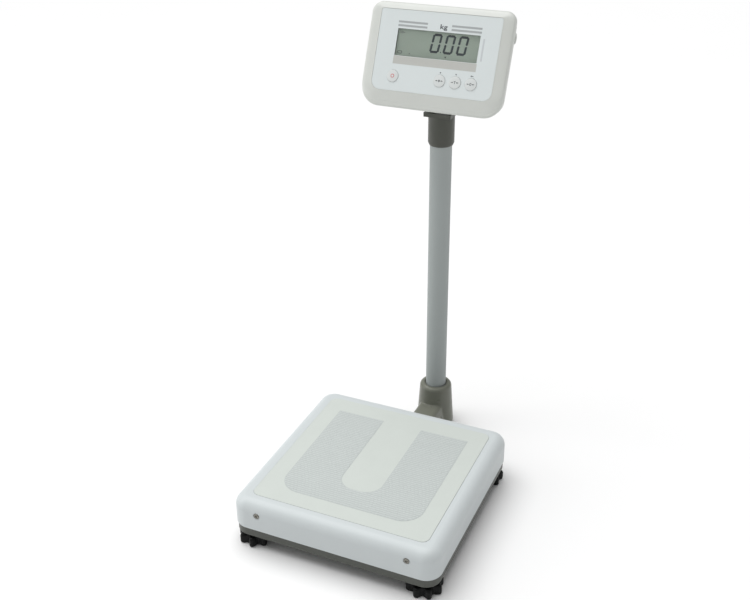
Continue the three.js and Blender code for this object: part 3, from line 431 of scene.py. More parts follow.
# Solder mask over the copper of the circuit board
board_green = coloured("green_solder_mask", "#2c5b3a", "#234d30",
                       6, 0.35, 0.06, 0.6, 0.01, ior=1.55)
lens_clear = clear_acrylic()

# Platform
cover_low, cover_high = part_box("platform_cover")
platform_middle = middle_of(cover_low, cover_high)[:2]
screw_x, _, screw_z = middle_of(*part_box("cover_screw_front_right"))


def round_uprights(piece, radius, steps, wanted=lambda middle: True):
    """Rounds the upright edges whose middle is wanted."""
    pick(piece, "EDGE",
         lambda edge: upright(edge) and wanted((edge.verts[0].co + edge.verts[1].co) / 2))
    bevel(radius, steps)


def rounded_block(name, low, high, radius, steps):
    piece = block(name, low, high)
    round_uprights(piece, radius, steps)
    return piece


def recess_tool(x, side):
    """A drill for one screw head, into the front (-1) or the rear (1)."""
    sunk, outside, length = 1.2 * MM, 4 * MM, 5.2 * MM
    start = cover_high[1] - sunk if side > 0 else cover_low[1] - outside
    return rod("screw_recess_tool", 5.4 * MM, (x, start, screw_z), length, "Y", 48)


def platform_cover():
    low, high = cover_low, cover_high
    wall, recess, corner, shoulder, lip = 3 * MM, 1.2 * MM, 26 * MM, 17.7 * MM, 1.2 * MM
    cover = rounded_block("cover_shell", low, high, corner, 20)
    pick(cover, "EDGE", level_at(high[2]))
    bevel(shoulder, 16)
    pick(cover, "EDGE", level_at(low[2]))
    bevel(lip, 3)
    pick(cover, "FACE", face_at(low[2], -1))
    inset(wall - lip)
    ceiling = high[2] - recess - wall
    extrude(z=ceiling - low[2])
    leave_edit()
    pick(cover, "EDGE", level_at(ceiling))
    bevel(shoulder - wall - 1 * MM, 6)
    rim, mat_corner, above = 24.5 * MM, 12 * MM, 5 * MM
    tool = rounded_block(
        "mat_recess_tool", (low[0] + rim, low[1] + rim, high[2] - recess),
        (high[0] - rim, high[1] - rim, high[2] + above), mat_corner, 12)
    cut_away(cover, tool)
    cut_away(cover, *[recess_tool(x, side) for x in (-screw_x, screw_x) for side in (-1, 1)])

    def in_recess(end):
        return all(abs(end[axis] - platform_middle[axis])
                   < high[axis] - rim - platform_middle[axis] + FLUSH for axis in (0, 1))

    pick(cover, "EDGE",
         lambda edge: level_at(high[2])(edge) and all(in_recess(end) for end in ends(edge)))
    bevel(0.5 * MM, 2)
    smooth(cover, 30, weighted=True)
    fit(cover, "base", cover_white, ["platform_cover"])


platform_cover()


def platform_mat():
    low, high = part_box("platform_mat")
    spread, corner = 0.2 * MM, 12.2 * MM
    mat = rounded_block("mat_sheet", (low[0] - spread, low[1] - spread, low[2]),
                        (high[0] + spread, high[1] + spread, high[2]), corner, 12)
    pick(mat, "EDGE", level_at(high[2]))
    bevel(0.6 * MM, 4)
    smooth(mat, 30, weighted=True)
    fit(mat, "base", mat_sheet, ["platform_mat"])
    return high[2]


mat_top = platform_mat()
GRIP = {"half": 117 * MM, "front": -117 * MM, "rear": 113 * MM, "corner": 35 * MM,
        "slot_half": 34 * MM, "slot_front": -76 * MM, "slot_corner": 28 * MM}


def grip_outline(name, grow, low, high):
    """The horseshoe where the feet stand: a rounded field with a slot open to the rear."""
    x, y = platform_middle
    field = block(name, (x - GRIP["half"] - grow, y + GRIP["front"] - grow, low),
                  (x + GRIP["half"] + grow, y + GRIP["rear"] + grow, high))
    round_uprights(field, GRIP["corner"] + grow, 16, lambda middle: middle.y < y)
    past = 9 * MM
    slot = block("slot_tool",
                 (x - GRIP["slot_half"] + grow, y + GRIP["slot_front"] + grow, low - 1 * MM),
                 (x + GRIP["slot_half"] - grow, y + GRIP["rear"] + past, high + 1 * MM))
    round_uprights(slot, GRIP["slot_corner"], 16, lambda middle: middle.y < y)
    cut_away(field, slot)
    return field


def grip_area():
    field = grip_outline("grip_area", 0, mat_top - 0.3 * MM, mat_top + 0.12 * MM)
    smooth(field, 30)
    fit(field, "base", grip_print)


grip_area()


def grip_ribs():
    """Low ribs across the horseshoe, one repeated to the rear and kept inside its outline."""
    x, y = platform_middle
    pitch, wide, margin = 4.5 * MM, 1.9 * MM, 2 * MM
    first = y + GRIP["front"] + margin
    count = int((GRIP["rear"] - GRIP["front"] - 2 * margin) / pitch) + 1
    low, high = mat_top - 0.2 * MM, mat_top + 0.45 * MM
    ribs = block("grip_ribs", (x - GRIP["half"], first, low),
                 (x + GRIP["half"], first + wide, high))
    pick(ribs, "EDGE", lambda edge: level_at(high)(edge)
         and abs(edge.verts[0].co.y - edge.verts[1].co.y) < FLUSH)
    bevel(0.3 * MM, 2)
    modify(ribs, "ARRAY", count=count, use_relative_offset=False, use_constant_offset=True,
           constant_offset_displace=(0, pitch, 0))
    outline = grip_outline("rib_outline", -1.2 * MM, mat_top - 2 * MM, mat_top + 2 * MM)
    combine(ribs, "INTERSECT", [outline])
    smooth(ribs, 40)
    # The lighter ribs are painted highlight
    fit(ribs, "base", grip_rib_highlight)


grip_ribs()


def base_tray():
    """A skirt with a tongue that reaches up into the cover, and holes for the stops."""
    low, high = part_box("base_tray")
    skirt_top = cover_low[2] - 0.6 * MM
    corner, ledge, tongue, wall, floor = 24.5 * MM, 2.7 * MM, 8 * MM, 2.5 * MM, 3 * MM
    tray = rounded_block("base_skirt", low, (high[0], high[1], skirt_top), corner, 16)
    pick(tray, "EDGE", level_at(low[2]))
    bevel(3 * MM, 5)
    pick(tray, "FACE", lambda face: face.normal.z > STRAIGHT)
    inset(ledge)
    extrude(z=tongue)
    inset(wall)
    extrude(z=low[2] + floor - skirt_top - tongue)
    leave_edit()
    for corner_name in CORNERS:
        x, y, _ = middle_of(*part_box("overload_stop_" + corner_name))
        cut_away(tray, rod("stop_hole_tool", 3.3 * MM, (x, y, low[2] - 1 * MM), 6 * MM, "Z", 32))
    smooth(tray, 30, weighted=True)
    fit(tray, "base", skirt_grey, ["base_tray"])


base_tray()


def pan_head_screw(name, radius, height, sunk):
    """A crowned head with a cross slot, facing +Z, its seat at the origin."""
    crown, slot_floor, arm, arm_width = height * 0.62, height * 0.35, 0.56, 0.13
    screw = rod(name, radius, (0, 0, -sunk), height + sunk, "Z", 48)
    pick(screw, "EDGE", level_at(height))
    bevel(crown, 5)
    slots = [block("slot_tool", (-a * radius, -b * radius, slot_floor),
                   (a * radius, b * radius, height + 1 * MM))
             for a, b in ((arm, arm_width), (arm_width, arm))]
    cut_away(screw, *slots)
    smooth(screw, 30)
    return screw


def cover_screws():
    master = pan_head_screw("cover_screw_master", 4.5 * MM, 1.7 * MM, 0.4 * MM)
    sunk = 1.1 * MM
    for name in CORNERS:
        node = "cover_screw_" + name
        x = middle_of(*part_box(node))[0]
        front = "front" in name
        seat = cover_low[1] + sunk if front else cover_high[1] - sunk
        screw = another(master, "dressed_" + node)
        face_out = Matrix.Rotation(math.pi / 2 if front else -math.pi / 2, 4, "X")
        slot_turn = Matrix.Rotation(0.5 if "left" in name else 0.2, 4, "Z")
        move(screw, Matrix.Translation((x, seat, screw_z)) @ face_out @ slot_turn)
        # The cover screws take the darker zinc: painted shade of their recesses
        fit(screw, "base", zinc_painted_shade, [node])
    bpy.data.objects.remove(master)


cover_screws()

# Levelling feet
KNOB_LOBES = 8
KNOB_SIDES = 96
KNOB_TURNS = {"front_left": 0.17, "front_right": -0.17, "rear_left": -0.34, "rear_right": 0.34}


def round_end(full, radius, way, steps=5):
    """Carries the picked end face on in steps that follow a quarter circle."""
    for step in range(steps):
        here, there = [math.pi / 2 * place / steps for place in (step, step + 1)]
        extrude(z=way * radius * (math.sin(there) - math.sin(here)))
        factor = (full - radius * (1 - math.cos(there))) / (full - radius * (1 - math.cos(here)))
        resize(factor, factor)
    leave_edit()


def knob_master():
    """A star of eight lobes, its hollows drawn in corner by corner, with a hub on top."""
    put_down()
    full, dip, height = 29 * MM, 7.7 * MM, 17.4 * MM
    low_round, high_round = 3.6 * MM, 5.2 * MM
    bpy.ops.mesh.primitive_circle_add(vertices=KNOB_SIDES, radius=full, fill_type="NGON")
    knob = named("knob_master")
    step = KNOB_SIDES // KNOB_LOBES
    for place in range(1, step // 2 + 1):
        share = (1 - math.cos(2 * math.pi * place / step)) / 2
        pick(knob, "VERT", lambda corner: corner.index % step in (place, step - place))
        factor = (full - dip * share) / full
        resize(factor, factor, center_override=(0, 0, 0))
        leave_edit()
    pick(knob, "VERT")
    shift(z=low_round)
    leave_edit()
    pick(knob, "FACE")
    extrude(z=height - low_round - high_round)
    leave_edit()
    close_up(knob)
    for level, radius, way in ((low_round, low_round, -1), (height - high_round, high_round, 1)):
        pick(knob, "FACE", face_at(level, way))
        round_end(full, radius, way)
    hub_foot, hub_length = 10 * MM, 9 * MM
    hub = rod("hub", 11 * MM, (0, 0, hub_foot), hub_length, "Z", 48)
    pick(hub, "EDGE", level_at(hub_foot + hub_length))
    bevel(0.8 * MM, 3)
    weld(knob, hub)
    smooth(knob, 35)
    return knob


def knobs():
    master = knob_master()
    for name, turn in KNOB_TURNS.items():
        node = "foot_knob_" + name
        low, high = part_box(node)
        knob = another(master, "dressed_" + node)
        x, y, _ = middle_of(low, high)
        move(knob, Matrix.Translation((x, y, low[2])) @ Matrix.Rotation(turn, 4, "Z"))
        fit(knob, body_of(node), knob_black, [node])
    bpy.data.objects.remove(master)


knobs()

# Column
tube_low, tube_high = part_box("column_tube")
axis_y = middle_of(tube_low, tube_high)[1]
bracket_low, bracket_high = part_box("column_bracket")
_, pivot_y, pivot_z = middle_of(*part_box("pivot_bolt"))


def column_bracket():
    """Boss, arm and flange in one casting; the voxels melt their joints into fillets."""
    floor, top, front = bracket_low[2], bracket_high[2], bracket_low[1]
    foot_radius, top_radius, rounding = 33.3 * MM, 28.1 * MM, 6 * MM
    arm_half, arm_top, arm_taper = 28 * MM, floor + 45 * MM, 20 / 28
    plate_half, plate_low, plate_high = 62 * MM, 24 * MM, 37.4 * MM
    plate_deep, neck_deep, neck_round = 8 * MM, 44 * MM, 27 * MM
    boss = rod("column_foot", foot_radius, (0, axis_y, floor), top - floor, "Z", 96,
               far_radius=top_radius)
    pick(boss, "EDGE", level_at(top))
    bevel(rounding, 8)
    arm = block("arm", (-arm_half, cover_high[1] + 2 * MM, floor), (arm_half, axis_y, arm_top))
    pick(arm, "VERT", lambda corner: corner.co.z > floor + 1 * MM)
    resize(arm_taper, 1)
    leave_edit()
    pick(arm, "EDGE", lambda edge: level_at(arm_top)(edge)
         and abs(ends(edge)[0].y - ends(edge)[1].y) > 10 * MM)
    bevel(rounding, 6)
    rib = block("flange", (-arm_half, front, plate_low),
                (arm_half, front + neck_deep, plate_high))
    plate = block("plate", (-plate_half, front, plate_low),
                  (plate_half, front + plate_deep, plate_high))
    weld(rib, plate)
    pick(rib, "EDGE", lambda edge: upright(edge)
         and abs(abs(ends(edge)[0].x) - arm_half) < FLUSH
         and abs(ends(edge)[0].y - front - plate_deep) < FLUSH)
    bevel(neck_round, 8)
    weld(boss, arm, rib)
    modify(boss, "REMESH", mode="VOXEL", voxel_size=0.9 * MM)
    modify(boss, "SMOOTH", factor=0.5, iterations=14)
    bore_radius, bore_floor = 18.3 * MM, floor + 6 * MM
    groove_radius, groove_floor = 20.4 * MM, top - 3.5 * MM
    cut_away(boss, rod("bore", bore_radius, (0, axis_y, bore_floor), top, "Z", 96),
             rod("groove", groove_radius, (0, axis_y, groove_floor), 20 * MM, "Z", 96))
    smooth(boss, 40)
    fit(boss, "base", bracket_grey, ["column_bracket"])


column_bracket()


def column_tube():
    put_down()
    radius, wall, length = 18 * MM, 1.5 * MM, tube_high[2] - tube_low[2]
    bpy.ops.mesh.primitive_cylinder_add(
        vertices=96, radius=radius, depth=length, end_fill_type="NOTHING",
        location=(0, axis_y, tube_low[2] + length / 2))
    tube = named("column_post")
    modify(tube, "SOLIDIFY", thickness=wall, offset=-1)
    smooth(tube, 40)
    fit(tube, "base", tube_grey, ["column_tube"])


column_tube()


def column_collar():
    """A sleeve over the tube, a D-shaped block on it and two ears for the pivot."""
    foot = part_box("column_collar")[0][2]
    block_base, block_top, reach = 586.7 * MM, 593.2 * MM, 22.9 * MM
    sleeve_radius, sleeve_foot, into_block = 21.4 * MM, foot + 15.5 * MM, 4 * MM
    foot_taper, foot_bevel = 19.5 / 21.4, 4.5 * MM
    sleeve = rod("head_collar", sleeve_radius, (0, axis_y, sleeve_foot),
                 block_base + into_block - sleeve_foot, "Z", 96)
    pick(sleeve, "FACE", lambda face: face.normal.z < -STRAIGHT)
    extrude(z=-foot_bevel)
    resize(foot_taper, foot_taper)
    leave_edit()
    yoke = rod("yoke", reach, (0, axis_y, block_base), block_top - block_base, "Z", 96)
    square = block("square", (-reach, axis_y - reach, block_base), (reach, axis_y, block_top))
    round_uprights(square, 1.5 * MM, 4, lambda middle: middle.y < axis_y - 10 * MM)
    weld(yoke, square)
    ear_radius, ear_near, ear_far, ear_width = 11 * MM, 14 * MM, 20 * MM, 6 * MM
    for side in (-1, 1):
        left, right = sorted((side * ear_near, side * ear_far))
        ear = block("ear", (left, pivot_y - ear_radius, block_top - into_block),
                    (right, pivot_y + ear_radius, pivot_z))
        weld(ear, rod("arch", ear_radius, (left, pivot_y, pivot_z), ear_width, "X"))
        weld(yoke, ear)
    weld(sleeve, yoke)
    tube_hole, cable_hole, pivot_hole = 18.2 * MM, 7 * MM, 4.2 * MM
    bore = rod("bore", tube_hole, (0, axis_y, foot - 2 * MM), 53.1 * MM, "Z", 96)
    cable = rod("cable", cable_hole, (0, axis_y, 570 * MM), 40 * MM, "Z", 48)
    hinge = rod("hinge", pivot_hole, (-30 * MM, pivot_y, pivot_z), 60 * MM, "X", 48)
    cut_away(sleeve, bore, cable, hinge)
    modify(sleeve, "BEVEL", width=0.5 * MM, segments=2, limit_method="ANGLE",
           angle_limit=math.radians(40))
    smooth(sleeve, 35, weighted=True)
    fit(sleeve, "base", collar_dark, ["column_collar"])


column_collar()

# Display head. Face coordinates: x right, y up the face, z out of it, from the middle of the
# window's top edge. The outlines and depths below are in millimetres.
LEANS_BACK = 23.5
PIVOT_TO_FACE = (0, 85.4 * MM, 63.7 * MM)
HEAD = (Matrix.Translation((0, pivot_y, pivot_z))
        @ Matrix.Rotation(math.radians(90 - LEANS_BACK), 4, "X")
        @ Matrix.Translation(PIVOT_TO_FACE))
CORNER_STEPS = 14
HOUSING = {"half": 116.18, "top": 40.58, "bottom": -119.8, "low": 31, "high": 17}
PANEL = {"half": 98.6, "top": 29.2, "bottom": -96, "low": 15, "high": 4}
SMALLEST_CORNER = 0.6
WINDOW = (66.7, 41.1)
KEYS = {"power_key": -64.0, "first_key": 12.8, "second_key": 38.0, "third_key": 63.2}
KEY_NODES = {"power_key": "power_key", "first_key": "hold_key", "second_key": "tare_key",
             "third_key": "zero_key"}
KEY_DROP = -72.9
FILM_TOP = -0.3
INK = 0.04


def narrowed(outline, by):
    return {"half": outline["half"] - by, "top": outline["top"] - by,
            "bottom": outline["bottom"] + by,
            "low": max(outline["low"] - by, SMALLEST_CORNER),
            "high": max(outline["high"] - by, SMALLEST_CORNER)}


def bezel_ring(side, above, below):
    """An outline between the panel's and the housing's, this far out at each side."""
    shares = {"half": side, "top": above, "bottom": below,
              "low": (side + below) / 2, "high": (side + above) / 2}
    return {key: PANEL[key] + (HOUSING[key] - PANEL[key]) * shares[key] for key in PANEL}


def outline_face(outline, depth, name="outline"):
    """A flat face with the head's rounded outline, at a height over the face."""
    put_down()
    width, height = 2 * outline["half"], outline["top"] - outline["bottom"]
    middle = (outline["top"] + outline["bottom"]) / 2 * MM
    bpy.ops.mesh.primitive_plane_add(size=1, location=(0, middle, depth * MM))
    plane = bpy.context.object
    plane.scale = (width * MM, height * MM, 1)
    named(name)
    pick(plane, "VERT", lambda corner: corner.co.y > middle
         and abs(abs(corner.co.x) - width / 2 * MM) < FLUSH)
    bevel(outline["high"] * MM, CORNER_STEPS, "VERTICES")
    pick(plane, "VERT", lambda corner: corner.co.y < middle
         and abs(corner.co.y - outline["bottom"] * MM) < FLUSH)
    bevel(outline["low"] * MM, CORNER_STEPS, "VERTICES")
    return plane


def skin(name, rings):
    """Bridges neighbouring outlines and closes the two ends."""
    bands = []
    for (lower, low_depth), (upper, high_depth) in zip(rings, rings[1:]):
        band = outline_face(lower, low_depth, "band")
        gather(band, outline_face(upper, high_depth))
        pick(band, "FACE")
        bpy.ops.mesh.delete(type="ONLY_FACE")
        bpy.ops.mesh.select_mode(type="EDGE")
        bpy.ops.mesh.select_all(action="SELECT")
        bpy.ops.mesh.bridge_edge_loops()
        leave_edit()
        bands.append(band)
    bands.append(outline_face(*rings[0]))
    bands.append(outline_face(*rings[-1]))
    shell = rename(gather(*bands), name)
    close_up(shell)
    return shell


def quarter(radius, steps=8):
    """How far in and how far up each step of a rounded edge lies."""
    turns = [math.pi / 2 * i / steps for i in range(steps + 1)]
    return [(radius * (1 - math.cos(turn)), radius * math.sin(turn)) for turn in turns]


def key_tools(radius, low, high):
    return [rod("key_tool", radius * MM, (x * MM, KEY_DROP * MM, low * MM), (high - low) * MM)
            for x in KEYS.values()]


def window_block(name, grow, low, high, corner, steps):
    """A block as large as the window and this much more on every side."""
    half, height = WINDOW
    return rounded_block(name, ((-half - grow) * MM, (-height - grow) * MM, low * MM),
                         ((half + grow) * MM, grow * MM, high * MM), corner * MM, steps)


def window_tool(grow, low, high):
    return window_block("window_tool", grow, low, high, 0.8, 4)


# The bezel from the panel outwards: how far back, and how far out at the sides, above and below
BEZEL_DEEP = 8.8
BEZEL = ((0, 0, 0, 0), (0.004, 0.02, 0.02, 0.02), (0.02, 0.045, 0.045, 0.045),
         (0.05, 0.1, 0.09, 0.08), (0.13, 0.45, 0.24, 0.16), (0.25, 0.8, 0.45, 0.28),
         (0.36, 0.9, 0.62, 0.39), (0.5, 0.955, 0.78, 0.53), (0.64, 0.98, 0.87, 0.66),
         (0.8, 0.993, 0.92, 0.82), (0.9, 0.998, 0.955, 0.91), (1, 1, 1, 1))
SHELL_WALL = 2.4
KEY_HOLE = 9.6


def front_housing():
    sloped = [(bezel_ring(*shares), -back * BEZEL_DEEP) for back, *shares in BEZEL]
    seat, inside = narrowed(PANEL, 0.4), narrowed(HOUSING, SHELL_WALL)
    rings = [
        (narrowed(PANEL, SHELL_WALL), -3.3),
        (inside, -6.4),
        (inside, -11),
        (narrowed(HOUSING, 0.5), -11),
        (HOUSING, -10.5),
        *sloped[::-1],
        (seat, -0.1),
        (seat, -0.9),
    ]
    shell = skin("head_front", rings)
    cut_away(shell, window_tool(1.6, -2.1, 3), window_tool(0, -9, 3), *key_tools(KEY_HOLE, -9, 3))
    move(shell, HEAD)
    smooth(shell, 28, weighted=True)
    fit(shell, "head", head_white, ["front_housing"])


front_housing()


def rear_cover():
    """A dished shell with a boss for the inlet at its side and four screw posts."""
    rim, rear = narrowed(HOUSING, 0.9), narrowed(HOUSING, 6.9)
    back, edge, mouth = -44.0, 9.0, -11.5
    rings = [
        (narrowed(rear, 11), back + SHELL_WALL),
        (narrowed(rear, 4), back + 6),
        (narrowed(rim, SHELL_WALL), mouth),
        (narrowed(rim, 0.4), mouth),
        (rim, -11.9),
        *[(narrowed(rear, step), back + edge - rise) for step, rise in quarter(edge)],
    ]
    shell = skin("head_rear", rings)
    inlet_y, inlet_z, inlet_hole = 5.5 * MM, -30 * MM, 7.1 * MM
    boss_radius, boss_foot, boss_length = 9.2 * MM, 98.6 * MM, 12.8 * MM
    boss = rod("boss", boss_radius, (boss_foot, inlet_y, inlet_z), boss_length, "X")
    pick(boss, "EDGE", level_at(boss_foot + boss_length, 0))
    bevel(1.2 * MM, 3)
    weld(shell, boss)
    cut_away(shell, rod("bore", inlet_hole, (96 * MM, inlet_y, inlet_z), 30 * MM, "X"))

    def at_posts(name, radius, start, length):
        return [rod(name, radius * MM, (x * MM, y * MM, start * MM), length * MM, "Z", 40)
                for x in (-90, 90) for y in (18, -86)]

    weld(shell, *at_posts("post", 5.4, back + 1, 12))
    cut_away(shell, *at_posts("post_tool", 3.6, back - 2, 9))
    move(shell, HEAD)
    smooth(shell, 28, weighted=True)
    fit(shell, "head", head_white, ["rear_cover"])


rear_cover()


def in_head(node):
    """The box of a node in the head's own frame."""
    mesh = frame["nodes"][node]
    back = HEAD.inverted() @ mesh.matrix_world
    corners = [back @ corner.co for corner in mesh.data.vertices]
    return [[end(corner[axis] for corner in corners) for axis in range(3)] for end in (min, max)]


def rear_screws():
    """Pan heads that face the rear: four close the head, four hold the tilt bracket."""
    kinds = (("rear_screw_", ("top", "bottom"), 3 * MM, 2 * MM, 1.5 * MM),
             ("tilt_screw_", ("high", "low"), 4 * MM, 2.4 * MM, 2 * MM))
    nodes = [(kind + row + "_" + side, sizes) for kind, rows, *sizes in kinds
             for row in rows for side in ("left", "right")]
    for node, (radius, height, shank_radius) in nodes:
        low, high = in_head(node)
        screw = pan_head_screw("dressed_" + node, radius, height, 0.3 * MM)
        shank_end = low[2] - high[2] + height + 0.1 * MM
        weld(screw, rod("shank", shank_radius, (0, 0, shank_end), high[2] - low[2] - height,
                        "Z", 32))
        smooth(screw, 30)
        x, y, _ = middle_of(low, high)
        face_back = Matrix.Rotation(math.pi, 4, "X")
        slot_turn = Matrix.Rotation(0.35 if "left" in node else 0.9, 4, "Z")
        move(screw, HEAD @ Matrix.Translation((x, y, low[2] + height)) @ (face_back @ slot_turn))
        fit(screw, "head", zinc, [node])


rear_screws()


def power_inlet():
    """A round socket with a dished face and a centre pin."""
    low, high = in_head("power_inlet")
    _, y, z = middle_of(low, high)
    foot, tip = low[0], high[0] - 2.4 * MM
    radius, rim, dish, socket, pin_radius = 6.9 * MM, 1.6 * MM, 0.8 * MM, 3.2 * MM, 1 * MM
    body = rod("inlet_body", radius, (foot, y, z), tip - foot, "X")
    pick(body, "FACE", lambda face: face.normal.x > STRAIGHT)
    inset(rim)
    extrude(x=-dish)
    leave_edit()
    pick(body, "EDGE", lambda edge: level_at(tip, 0)(edge) or level_at(tip - dish, 0)(edge))
    bevel(0.35 * MM, 3)
    cut_away(body, rod("socket_tool", socket, (tip - 10 * MM, y, z), 12 * MM, "X", 48))
    smooth(body, 30, weighted=True)
    move(body, HEAD)
    fit(body, "head", head_white, ["power_inlet"])
    pin = rod("inlet_pin", pin_radius, (tip - 10.4 * MM, y, z), 7 * MM, "X", 32,
              far_radius=0.7 * MM)
    smooth(pin, 30)
    move(pin, HEAD)
    fit(pin, "head", zinc)


power_inlet()


def panel_overlay():
    outline = narrowed(PANEL, 0.7)
    sheet = skin("keypad_film", [(outline, -0.8), (outline, FILM_TOP - 0.04),
                                 (narrowed(outline, 0.05), FILM_TOP)])
    cut_away(sheet, window_tool(0, -3, 3), *key_tools(KEY_HOLE, -3, 3))
    move(sheet, HEAD)
    smooth(sheet, 28)
    fit(sheet, "head", panel_film, ["panel_overlay"])


panel_overlay()


def display():
    """A dark frame round the glass paints the shade along the window's edges; the glass lies well
    behind the window.
    """
    low, high = -8.0, -4.4
    glass = window_block("lcd_glass", 3, low, high, 1, 3)
    smooth(glass, 30)
    move(glass, HEAD)
    fit(glass, "head", display_glass, ["display_module"])
    # The dark frame is painted shade inside the window
    shade_frame = window_block("lcd_painted_shade_frame", 2, high, -3.4, 1, 3)
    cut_away(shade_frame, window_tool(-0.1, -9, 3))
    smooth(shade_frame, 30)
    move(shade_frame, HEAD)
    fit(shade_frame, "head", shade_mask)
    return high


glass_front = display()


def lens():
    low, high = -2.0, -0.9
    piece = rename(window_tool(1.3, low, high), "window_lens")
    pick(piece, "EDGE", level_at(high * MM))
    bevel(0.15 * MM, 2)
    smooth(piece, 30)
    move(piece, HEAD)
    fit(piece, "head", lens_clear, ["display_lens"])


lens()

# Marks on the display and the panel, in millimetres
# A segment's two points reach this many strokes over its straight part
POINTS = 1.1547


def segment_bar(length, stroke, x, y, on_end=False):
    """One display segment: a thin bar with pointed ends."""
    put_down()
    bpy.ops.mesh.primitive_circle_add(
        vertices=6, radius=stroke / math.sqrt(3) * MM, fill_type="NGON",
        rotation=(0, 0, math.pi / 6))
    segment = named("segment")
    for side in (-1, 1):
        pick(segment, "VERT", lambda corner: corner.co.x * side > 0)
        shift(x=side * (length - stroke * POINTS) / 2 * MM)
        leave_edit()
    pick(segment, "FACE")
    extrude(z=INK * MM)
    close_up(segment)
    turn = Matrix.Rotation(math.pi / 2 if on_end else 0, 4, "Z")
    move(segment, Matrix.Translation((x * MM, y * MM, 0)) @ turn)
    return segment


def display_zero(width, height, stroke):
    """The six outer segments of a seven-segment figure, upright round the origin."""
    across, up = (width - stroke) / 2, (height - stroke) / 2
    gap = stroke * 0.2
    bars = [segment_bar(2 * across - gap + stroke * 0.3, stroke, 0, side * up)
            for side in (-1, 1)]
    bars += [segment_bar(up - gap * 0.5, stroke, side * across, end * (up / 2 + gap * 0.6), True)
             for side in (-1, 1) for end in (-1, 1)]
    return gather(*bars)


def lean(piece, share):
    """Slants a flat mark to the right as it rises."""
    slant = Matrix.Identity(4)
    slant[0][1] = share
    piece.data.transform(slant)


def print_on(piece, name, level, material, x=0, y=0, body="head"):
    """Lays a flat mark on a level over the head's face."""
    rename(piece, name)
    move(piece, HEAD @ Matrix.Translation((x * MM, y * MM, level * MM)))
    fit(piece, body, material)


def print_on_film(piece, name, ink, x=0, y=0):
    print_on(piece, name, FILM_TOP, ink, x, y)


def flat_bar(x0, x1, y0, y1):
    return block("strip", (x0 * MM, y0 * MM, 0), (x1 * MM, y1 * MM, INK * MM))


def wedge(radius, turn, x=0, y=0):
    """A small solid triangle whose point looks along a turn."""
    put_down()
    bpy.ops.mesh.primitive_circle_add(vertices=3, radius=radius * MM, fill_type="NGON")
    piece = named("wedge")
    pick(piece, "FACE")
    extrude(z=INK * MM)
    close_up(piece)
    move(piece, Matrix.Translation((x * MM, y * MM, 0))
         @ Matrix.Rotation(turn - math.pi / 2, 4, "Z"))
    return piece


def flat_ring(outer, inner):
    ring = rod("ring", outer * MM, (0, 0, 0), INK * MM, "Z", 40)
    cut_away(ring, rod("hole", inner * MM, (0, 0, -MM), 3 * MM, "Z", 40))
    return ring


def oblong(name, width, height, low, high, corner):
    half, up = width / 2 * MM, height / 2 * MM
    return rounded_block(name, (-half, -up, low), (half, up, high), corner * MM, 6)


def oblong_ring(width, height, stroke, corner):
    outer = oblong("oblong", width, height, 0, INK * MM, corner)
    cut_away(outer, oblong("oblong_tool", width - 2 * stroke, height - 2 * stroke, -MM, MM,
                           corner - stroke))
    return outer


def figures_on_glass():
    def show(piece, name, x, y):
        print_on(piece, name, glass_front, display_mark, x, y)

    width, height, stroke, slant, drop = 15.4, 28.8, 3.5, 0.115, -17.3
    for place, x in (("first", -3.0), ("second", 18.6), ("third", 39.6)):
        zero = display_zero(width, height, stroke)
        lean(zero, slant)
        show(zero, place + "_figure", x, drop)
    show(flat_bar(-0.8, 0.8, -0.8, 0.8), "decimal_point", 6.4, -29.6)
    show(wedge(1.9, -math.pi / 2), "range_pointer", 15.2, -36.2)
    show(wedge(1.2, -math.pi / 2), "hold_pointer", -43.6, -36.2)
    show(oblong_ring(7.6, 4.2, 0.7, 1.6), "supply_symbol", -59.6, -35.2)
    small = display_zero(2.2, 3.0, 0.5)
    gather(small, flat_bar(-4.2, -1.9, -0.3, 0.3), flat_bar(1.9, 4.2, -0.3, 0.3))
    show(small, "zero_symbol", -59.5, -5.4)


figures_on_glass()


def unit_letters():
    put_down()
    bpy.ops.object.text_add()
    letters = bpy.context.object
    letters.data.body = "kg"
    letters.data.size = 9.6 * MM
    letters.data.space_character = 1.1
    letters.data.offset = 0.26 * MM
    letters.data.extrude = INK * MM
    bpy.ops.object.convert(target="MESH")
    close_up(letters)
    widened = 1.3
    letters.data.transform(Matrix.Diagonal((widened, 1, 1, 1)))
    print_on_film(letters, "unit_letters", dark_ink, 0.6, 4.6)


unit_letters()


def panel_print():
    left, right = -67.4, 67.6
    for name, x0, x1 in (("left", left, -19.6), ("right", 19.6, right)):
        for row, y in (("upper", 10.2), ("lower", 4.5)):
            print_on_film(flat_bar(x0, x1, y - 1.5, y + 1.5), f"{row}_{name}_stripe", grey_ink)
    print_on_film(flat_bar(left, right, -53.9, -41.6), "label_strip", pale_ink)
    print_on_film(flat_bar(71.6, 74.4, -37.6, -4.2), "side_strip", faint_ink)
    marks = gather(wedge(1.6, -math.pi / 2, 12.8, -60.4), wedge(1.6, math.pi / 2, 38.0, -60.7),
                   wedge(1.6, math.pi, 62.2, -60.7), flat_bar(63.2, 65.6, -61.2, -60.3))
    print_on_film(marks, "key_marks", dark_ink)


panel_print()


